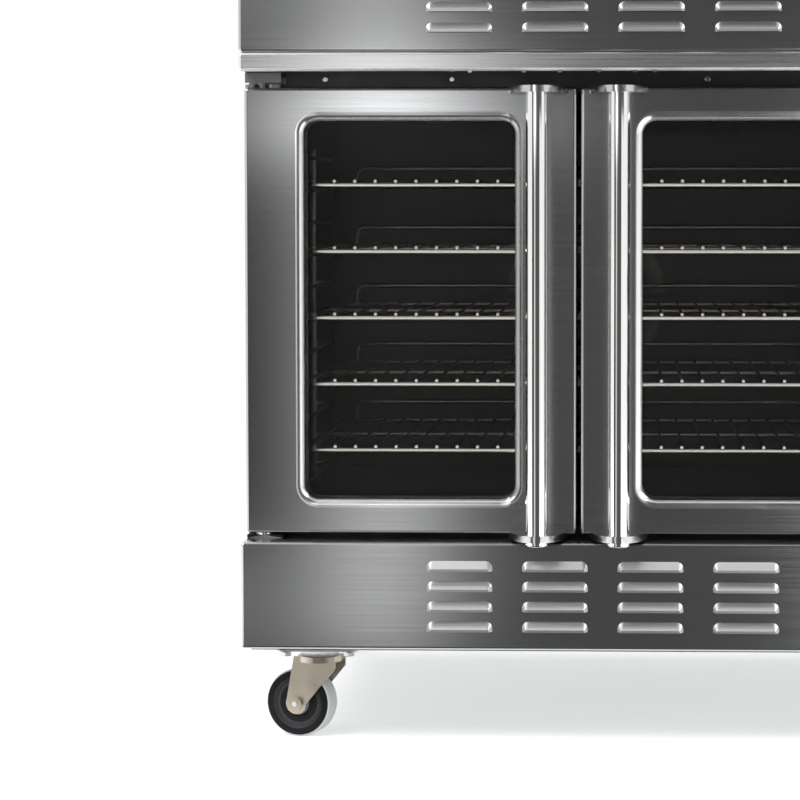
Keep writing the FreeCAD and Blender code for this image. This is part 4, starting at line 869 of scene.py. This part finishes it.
screw_places = []
baffle_places = []
for lift in (0.0, deck_rise):
    top_lift = lift - deck_rise
    screw_places += screw_grid("front", [oven_x + x * MM for x in FRAME_SCREWS], frame_face,
                               [door_top + lift + FRAME_SCREW_LIFT])
    panel_z = inset(panel_low.z + lift, panel_high.z + top_lift, EDGE_MARGIN)
    screw_places += screw_grid("back", inset(back_low.x, back_high.x, EDGE_MARGIN), back_high.y,
                               even(*panel_z, PANEL_SCREW_ROWS))
    flue_z = inset(flue_low.z + lift, flue_high.z + top_lift, EDGE_MARGIN)
    screw_places += screw_grid("back", inset(flue_low.x, flue_high.x, EDGE_MARGIN), back_high.y + FLUE_SHEET,
                               even(*flue_z, FLUE_SCREW_ROWS))
    screw_places += screw_grid("front", inset(control_low.x, control_high.x, CONTROL_MARGIN), door_face,
                               inset(door_bottom + lift, door_top + lift, CONTROL_MARGIN))
    baffle_places += screw_grid("front", inset(baffle_low.x, baffle_high.x, BAFFLE_MARGIN), baffle_low.y,
                                inset(baffle_low.z + lift, baffle_high.z + top_lift, BAFFLE_MARGIN))
place_copies(screw, screw_places, "panel_screws", "root", screw_steel)
place_copies(screw, baffle_places, "baffle_screws", "root", finishes["enamel"])
print(len(screw_places), "panel screws,", len(baffle_places), "baffle screws")

# %% [markdown]
# ## Screws of the door liners
# Each liner is screwed to its door around the window, where the screws also hold the panes. They ride on
# the door, because they have to swing with it.

# %% Screws of the door liners
LINER_SCREWS = 3
LINER_SCREW_X = 18 * MM
LINER_SCREW_Z = 13 * MM

for deck in DECKS:
    for side in SIDES:
        door = f"{deck}_{side}_door"
        pane_low, pane_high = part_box(f"{door}_glass")
        liner_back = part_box(f"{door}_liner")[1].y
        places = screw_grid("back", inset(pane_low.x, pane_high.x, -LINER_SCREW_X), liner_back,
                            even(pane_low.z, pane_high.z, LINER_SCREWS))
        places += screw_grid("back", even(pane_low.x, pane_high.x, LINER_SCREWS), liner_back,
                             inset(pane_low.z, pane_high.z, -LINER_SCREW_Z))
        place_copies(screw, places, f"{door}_screws", door, screw_steel)
        print(door, "has", len(places), "liner screws")
bpy.data.objects.remove(screw)

# %% [markdown]
# ## Bolts of the casters
# The casters hang on hexagon bolts, four to a plate: a six-sided cylinder with its upper rim chamfered,
# on a round washer. Bolt and washer are made in one mesh, since they never come apart here.

# %% Hexagon bolt
BOLT_RADIUS = 7.5 * MM
BOLT_HEIGHT = 5.3 * MM
BOLT_CHAMFER = 0.9 * MM
WASHER_SIDES = 24
WASHER_RADIUS = 8.6 * MM
WASHER_HEIGHT = 1.6 * MM

bolt = new_piece(bpy.ops.mesh.primitive_cylinder_add, vertices=6, radius=BOLT_RADIUS, depth=BOLT_HEIGHT)
bpy.ops.object.mode_set(mode="EDIT")
bpy.ops.transform.translate(value=(0, 0, WASHER_HEIGHT + BOLT_HEIGHT / 2))
bpy.ops.mesh.primitive_cylinder_add(vertices=WASHER_SIDES, radius=WASHER_RADIUS, depth=WASHER_HEIGHT,
                                    location=(0, 0, WASHER_HEIGHT / 2))
bpy.ops.object.mode_set(mode="OBJECT")
select_parts(bolt, "edges", lambda middle: middle.z > WASHER_HEIGHT + BOLT_HEIGHT * RIM_SHARE)
bpy.ops.mesh.bevel(offset=BOLT_CHAMFER, segments=1)
bpy.ops.object.mode_set(mode="OBJECT")
print("bolt", [round(value / MM, 2) for value in bolt.dimensions])

# %% Bolts of the casters
PLATE_LENGTH = 100 * MM
PLATE_WIDTH = 76 * MM
PLATE_THICKNESS = 4 * MM
BOLT_INSET = 11 * MM


def plate_holes(low, high, length):
    """The holes along one axis, of the plates at both ends of a span."""
    holes = inset(0, length, BOLT_INSET)
    return [low + hole for hole in holes] + [high - hole for hole in holes]


plate_low, plate_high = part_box("caster_plates")
bolt_places = []
for x in plate_holes(plate_low.x, plate_high.x, PLATE_LENGTH):
    for y in plate_holes(plate_low.y, plate_high.y, PLATE_WIDTH):
        bolt_places.append(facing("down", x, y, plate_high.z - PLATE_THICKNESS))
place_copies(bolt, bolt_places, "caster_bolts", "root", screw_steel)
bpy.data.objects.remove(bolt)
print(len(bolt_places), "caster bolts")

# %% [markdown]
# ## Rivets of the axles
# The ends of the axles are closed by small rivet heads outside the fork. They are made as the screw heads
# are, only without a cross, and each is set where the fork reaches furthest along the axle. They ride on
# the fork, which swivels but doesn't roll.

# %% Rivets of the axles
RIVET_RADIUS = 3.4 * MM
RIVET_HEIGHT = 1.4 * MM
RIVET_ROUNDING = 0.7 * RIVET_HEIGHT
HUB_RADIUS = 3 * RIVET_RADIUS

# Blue-passivated zinc: a pale, cool dot.
rivet_zinc = bright_metal("blue_zinc_rivet", "#dfeaea", 0.55, 5 * MM)
rivet = make_head(RIVET_RADIUS, RIVET_HEIGHT, RIVET_ROUNDING)
for joint in joints_of("_roll"):
    fork = joint["parent"]
    axle, direction = Vector(joint["pos_m"]), Vector(joint["axis"])
    places = []
    for way in (direction, -direction):
        reach = max((point.co - axle).dot(way) for point in nodes[fork].data.vertices
                    if (point.co - axle).cross(way).length < HUB_RADIUS)
        turn = way.to_track_quat("Z", "Y").to_matrix().to_4x4()
        places.append(Matrix.Translation(axle + way * reach) @ turn)
    place_copies(rivet, places, f"{fork}_rivets", fork, rivet_zinc)
    print(fork, f"is {2 * reach / MM:.1f} mm wide over its axle")
bpy.data.objects.remove(rivet)

# %% [markdown]
# ## Clips under the rail
# Small spring clips under the front rail hold its folded edge. They are plates with rounded corners: a
# plane whose corners are bevelled, made thick by Solidify. The same helper gives the hinge shoes, the
# ticks of the dials and the pointers of the knobs.

# %% Clips under the rail
# Millimetres from the middle of the oven.
CLIPS = (-217, -152.6, -109.4, -62.6, -19.4, 4.6)
CLIP = (5 * MM, 4 * MM, 1.5 * MM)
CLIP_SETBACK = 2 * MM


def make_bar(width, length, height):
    """A thin plate with rounded corners, lying flat around the origin."""
    bar = new_piece(bpy.ops.mesh.primitive_plane_add, size=1.0)
    bpy.ops.object.mode_set(mode="EDIT")
    bpy.ops.transform.resize(value=(width, length, 1))
    bpy.ops.mesh.bevel(offset=min(width, length) / 4, segments=2, affect="VERTICES")
    bpy.ops.object.mode_set(mode="OBJECT")
    apply_modifier(bar, "SOLIDIFY", thickness=height, offset=0)
    return bar


rail_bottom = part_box("top_panels")[0].z
clip = make_bar(*CLIP)
clip_places = screw_grid("front", [x * MM for x in CLIPS], front + CLIP_SETBACK,
                         (rail_bottom, rail_bottom + deck_rise))
place_copies(clip, clip_places, "rail_clips", "root", screw_steel)
bpy.data.objects.remove(clip)
print(len(clip_places), "rail clips")

# %% [markdown]
# ## Hinge shoes on the doors
# On top of each door two flat shoes, one each side of the hinge pin, take up the play under the bracket.
# They stop short of the pin on both sides and ride on the door.

# %% Hinge shoes on the doors
SHOE_REACHES = (20.5 * MM, 24 * MM)
SHOE_DEPTH = 18 * MM
SHOE_HEIGHT = 4 * MM
PIN_CLEARANCE = 8 * MM

for joint in joints_of("door_hinge"):
    door = joint["child"]
    pin_x, pin_y = joint["pos_m"][:2]
    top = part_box(f"{door}_skin")[1].z
    outward = -1 if "left" in door else 1
    shoes = []
    for way, reach in zip((outward, -outward), SHOE_REACHES):
        shoe = make_bar(reach - PIN_CLEARANCE, SHOE_DEPTH, SHOE_HEIGHT)
        shoe_x = pin_x + way * (reach + PIN_CLEARANCE) / 2
        shoe.data.transform(Matrix.Translation((shoe_x, pin_y, top + SHOE_HEIGHT / 2)))
        shoes.append(shoe)
    join_pieces(shoes, f"{door}_hinge_shoes", door, bracket_steel)
    print(door, "has", len(SHOE_REACHES), "hinge shoes")

# %% [markdown]
# ## Rings around lenses and lamps
# Rings of polished steel seat the indicator lenses and the oven lamps. A ring starts as a circle whose
# edge is extruded outwards, and gets its thickness from Solidify and a soft edge from Bevel. A torus
# would be quicker, but a pressed ring is flat.

# %% Rings around lenses and lamps
LENS_DROP = 72 * MM
LENS_SPACING = 40 * MM
LENS_RING = (6.3 * MM, 9 * MM, 2.0 * MM)
LAMP_OFFSET = 190 * MM
LAMP_SETBACK = 150 * MM
LAMP_RING = (34.5 * MM, 43 * MM, 3.0 * MM)
LINER_SHEET = 2 * MM
RING_SIDES = 40


def make_ring(inner, outer, thickness):
    """A flat ring with soft edges, its underside on the origin and its axis upright."""
    ring = new_piece(bpy.ops.mesh.primitive_circle_add, vertices=RING_SIDES, radius=inner)
    bpy.ops.object.mode_set(mode="EDIT")
    bpy.ops.mesh.select_mode(type="EDGE")
    bpy.ops.mesh.select_all(action="SELECT")
    bpy.ops.mesh.extrude_edges_move(TRANSFORM_OT_translate={"value": (0, 0, 0)})
    bpy.ops.transform.resize(value=(outer / inner, outer / inner, 1))
    bpy.ops.mesh.select_all(action="SELECT")
    bpy.ops.mesh.normals_make_consistent(inside=False)
    bpy.ops.object.mode_set(mode="OBJECT")
    apply_modifier(ring, "SOLIDIFY", thickness=thickness, offset=0)
    apply_modifier(ring, "BEVEL", width=thickness / 4, segments=2)
    bpy.ops.object.mode_set(mode="EDIT")
    bpy.ops.mesh.select_all(action="SELECT")
    bpy.ops.transform.translate(value=(0, 0, thickness / 2))
    bpy.ops.mesh.normals_make_consistent(inside=False)
    bpy.ops.object.mode_set(mode="OBJECT")
    return ring


liner_low, liner_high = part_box("cavity_liners")
lens_places = []
lamp_places = []
for lift in (0.0, deck_rise):
    lens_z = door_top + lift - LENS_DROP
    lamp_z = liner_high.z - deck_rise + lift - LINER_SHEET
    for way in (-1, 1):
        lens_places.append(facing("front", lens_x + way * LENS_SPACING / 2, door_face, lens_z))
        lamp_places.append(facing("down", oven_x + way * LAMP_OFFSET, liner_low.y + LAMP_SETBACK, lamp_z))
for name, sizes, places in (("lens_rings", LENS_RING, lens_places), ("lamp_rings", LAMP_RING, lamp_places)):
    ring = make_ring(*sizes)
    place_copies(ring, places, name, "root", finishes["polished"])
    bpy.data.objects.remove(ring)
print("rings:", len(lens_places), "lenses,", len(lamp_places), "lamps")

# %% [markdown]
# ## Frames around the rocker switches
# A rocker switch snaps into a plastic frame. The frame is a plane with its middle inset and deleted, made
# thick by Solidify. It is centred on the pivot and a little higher than the rocker reaches to either
# side, so that the rocker can tip both ways without touching it.

# %% Frames around the rocker switches
SWITCH_FRAME_MARGIN = 4 * MM
SWITCH_FRAME_GAP = 1.2 * MM
SWITCH_FRAME_HEIGHT = 2.0 * MM

for joint in joints_of("switch_rock"):
    switch = joint["child"]
    switch_low, switch_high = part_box(switch)
    pivot = Vector(joint["pos_m"])
    width = switch_high.x - switch_low.x
    height = 2 * (max(switch_high.z - pivot.z, pivot.z - switch_low.z) + SWITCH_FRAME_GAP)
    bezel = new_piece(bpy.ops.mesh.primitive_plane_add, size=1.0)
    bpy.ops.object.mode_set(mode="EDIT")
    bpy.ops.transform.resize(value=(width + 2 * SWITCH_FRAME_MARGIN, height + 2 * SWITCH_FRAME_MARGIN, 1))
    bpy.ops.mesh.inset(thickness=SWITCH_FRAME_MARGIN, depth=0)
    bpy.ops.mesh.delete(type="FACE")
    bpy.ops.mesh.select_all(action="SELECT")
    bpy.ops.transform.translate(value=(0, 0, SWITCH_FRAME_HEIGHT / 2))
    bpy.ops.object.mode_set(mode="OBJECT")
    apply_modifier(bezel, "SOLIDIFY", thickness=SWITCH_FRAME_HEIGHT, offset=0)
    apply_modifier(bezel, "BEVEL", width=SWITCH_FRAME_HEIGHT / 4, segments=2)
    name = switch.replace("power_switch", "switch_frame")
    place_copies(bezel, [facing("front", pivot.x, door_face, pivot.z)], name, "root",
                 finishes["knob_plastic"])
    bpy.data.objects.remove(bezel)
    print(name, f"is {height / MM:.1f} mm high inside")

# %% [markdown]
# ## Dial marks
# The marks of the dials are screen-printed, a thin film of ink. A picture on the panel would blur close
# up, so ticks and figures are solids only a fraction of a millimetre thick: the ticks are bars, and the
# figures start as text that is extruded and made a mesh.

# %% Dial marks
INK = 0.2 * MM
TICK = (0.9 * MM, 5 * MM)
TICK_RADIUS = 33 * MM
FIGURE_RADIUS = 44 * MM
FIGURE_SIZE = 8 * MM
WORD_SIZE = 7 * MM
WORD_GAP = 11 * MM
# Each figure stands at an angle in degrees, clockwise from the top.
DIALS = {
    "thermostat_knob": {0: "0", 50: "100", 80: "150", 110: "200", 140: "250", 170: "300", 200: "350",
                        230: "400", 260: "450", 290: "500"},
    "timer_knob": {0: "0", 55: "10", 110: "20", 165: "30", 220: "40", 275: "50", 330: "60"},
}


def make_figure(words, size):
    """Printed figures as a thin solid, lying flat around the origin."""
    figure = new_piece(bpy.ops.object.text_add)
    figure.data.body = words
    figure.data.size = size
    figure.data.align_x = "CENTER"
    figure.data.align_y = "CENTER"
    figure.data.extrude = INK / 2
    bpy.ops.object.convert(target="MESH")
    return bpy.context.object


# Printing ink: matt black.
ink = coated("black_screen_ink", "#151516", "#1f1f20", 0.55, 1 * MM)
for deck in DECKS:
    marks = []
    for knob, figures in DIALS.items():
        hub = box_middle(f"{deck}_{knob}")
        hub.y = door_face
        for angle, words in figures.items():
            turn = math.radians(angle)
            spoke = Vector((math.sin(turn), 0, math.cos(turn)))
            tick = make_bar(*TICK, INK)
            tick_turn = Matrix.Rotation(turn, 4, "Y") @ OUTWARD["front"]
            tick.data.transform(Matrix.Translation(hub + spoke * TICK_RADIUS) @ tick_turn)
            figure = make_figure(words, FIGURE_SIZE)
            figure.data.transform(facing("front", *(hub + spoke * FIGURE_RADIUS)))
            marks += [tick, figure]
    switch_low, switch_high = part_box(f"{deck}_power_switch")
    switch_x = (switch_low.x + switch_high.x) / 2
    for words, z in (("ON", switch_high.z + WORD_GAP), ("OFF", switch_low.z - WORD_GAP)):
        word = make_figure(words, WORD_SIZE)
        word.data.transform(facing("front", switch_x, door_face, z))
        marks.append(word)
    printed = join_pieces(marks, f"{deck}_dial_marks", "root", ink)
    print(printed.name, len(printed.data.polygons), "faces")

# %% [markdown]
# ## Pointers on the knobs
# A white line on each knob points at the figures. It is a thin bar of paint that rides on the knob, so
# that it turns with it.

# %% Pointers on the knobs
POINTER = (2.2 * MM, 17 * MM, 0.6 * MM)
POINTER_RISE = 11 * MM

# Filled-in enamel paint: a clean white line.
white_paint = coated("white_pointer_paint", "#f2f2ee", "#ffffff", 0.4, 1 * MM)
for deck in DECKS:
    for dial in DIALS:
        knob = f"{deck}_{dial}"
        centre = box_middle(knob)
        bar = make_bar(*POINTER)
        pointer_place = facing("front", centre.x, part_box(knob)[0].y, centre.z + POINTER_RISE)
        place_copies(bar, [pointer_place], f"{knob}_pointer", knob, white_paint)
        bpy.data.objects.remove(bar)
print(len(DECKS) * len(DIALS), "pointers")

# %% [markdown]
# ## Size of the finished oven
# The view is set to the Standard transform, and the size of the oven with all its fittings is printed.

# %% Size and finish
bpy.context.scene.view_settings.view_transform = "Standard"
low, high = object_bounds()
print("size", [round(value, 4) for value in high - low])
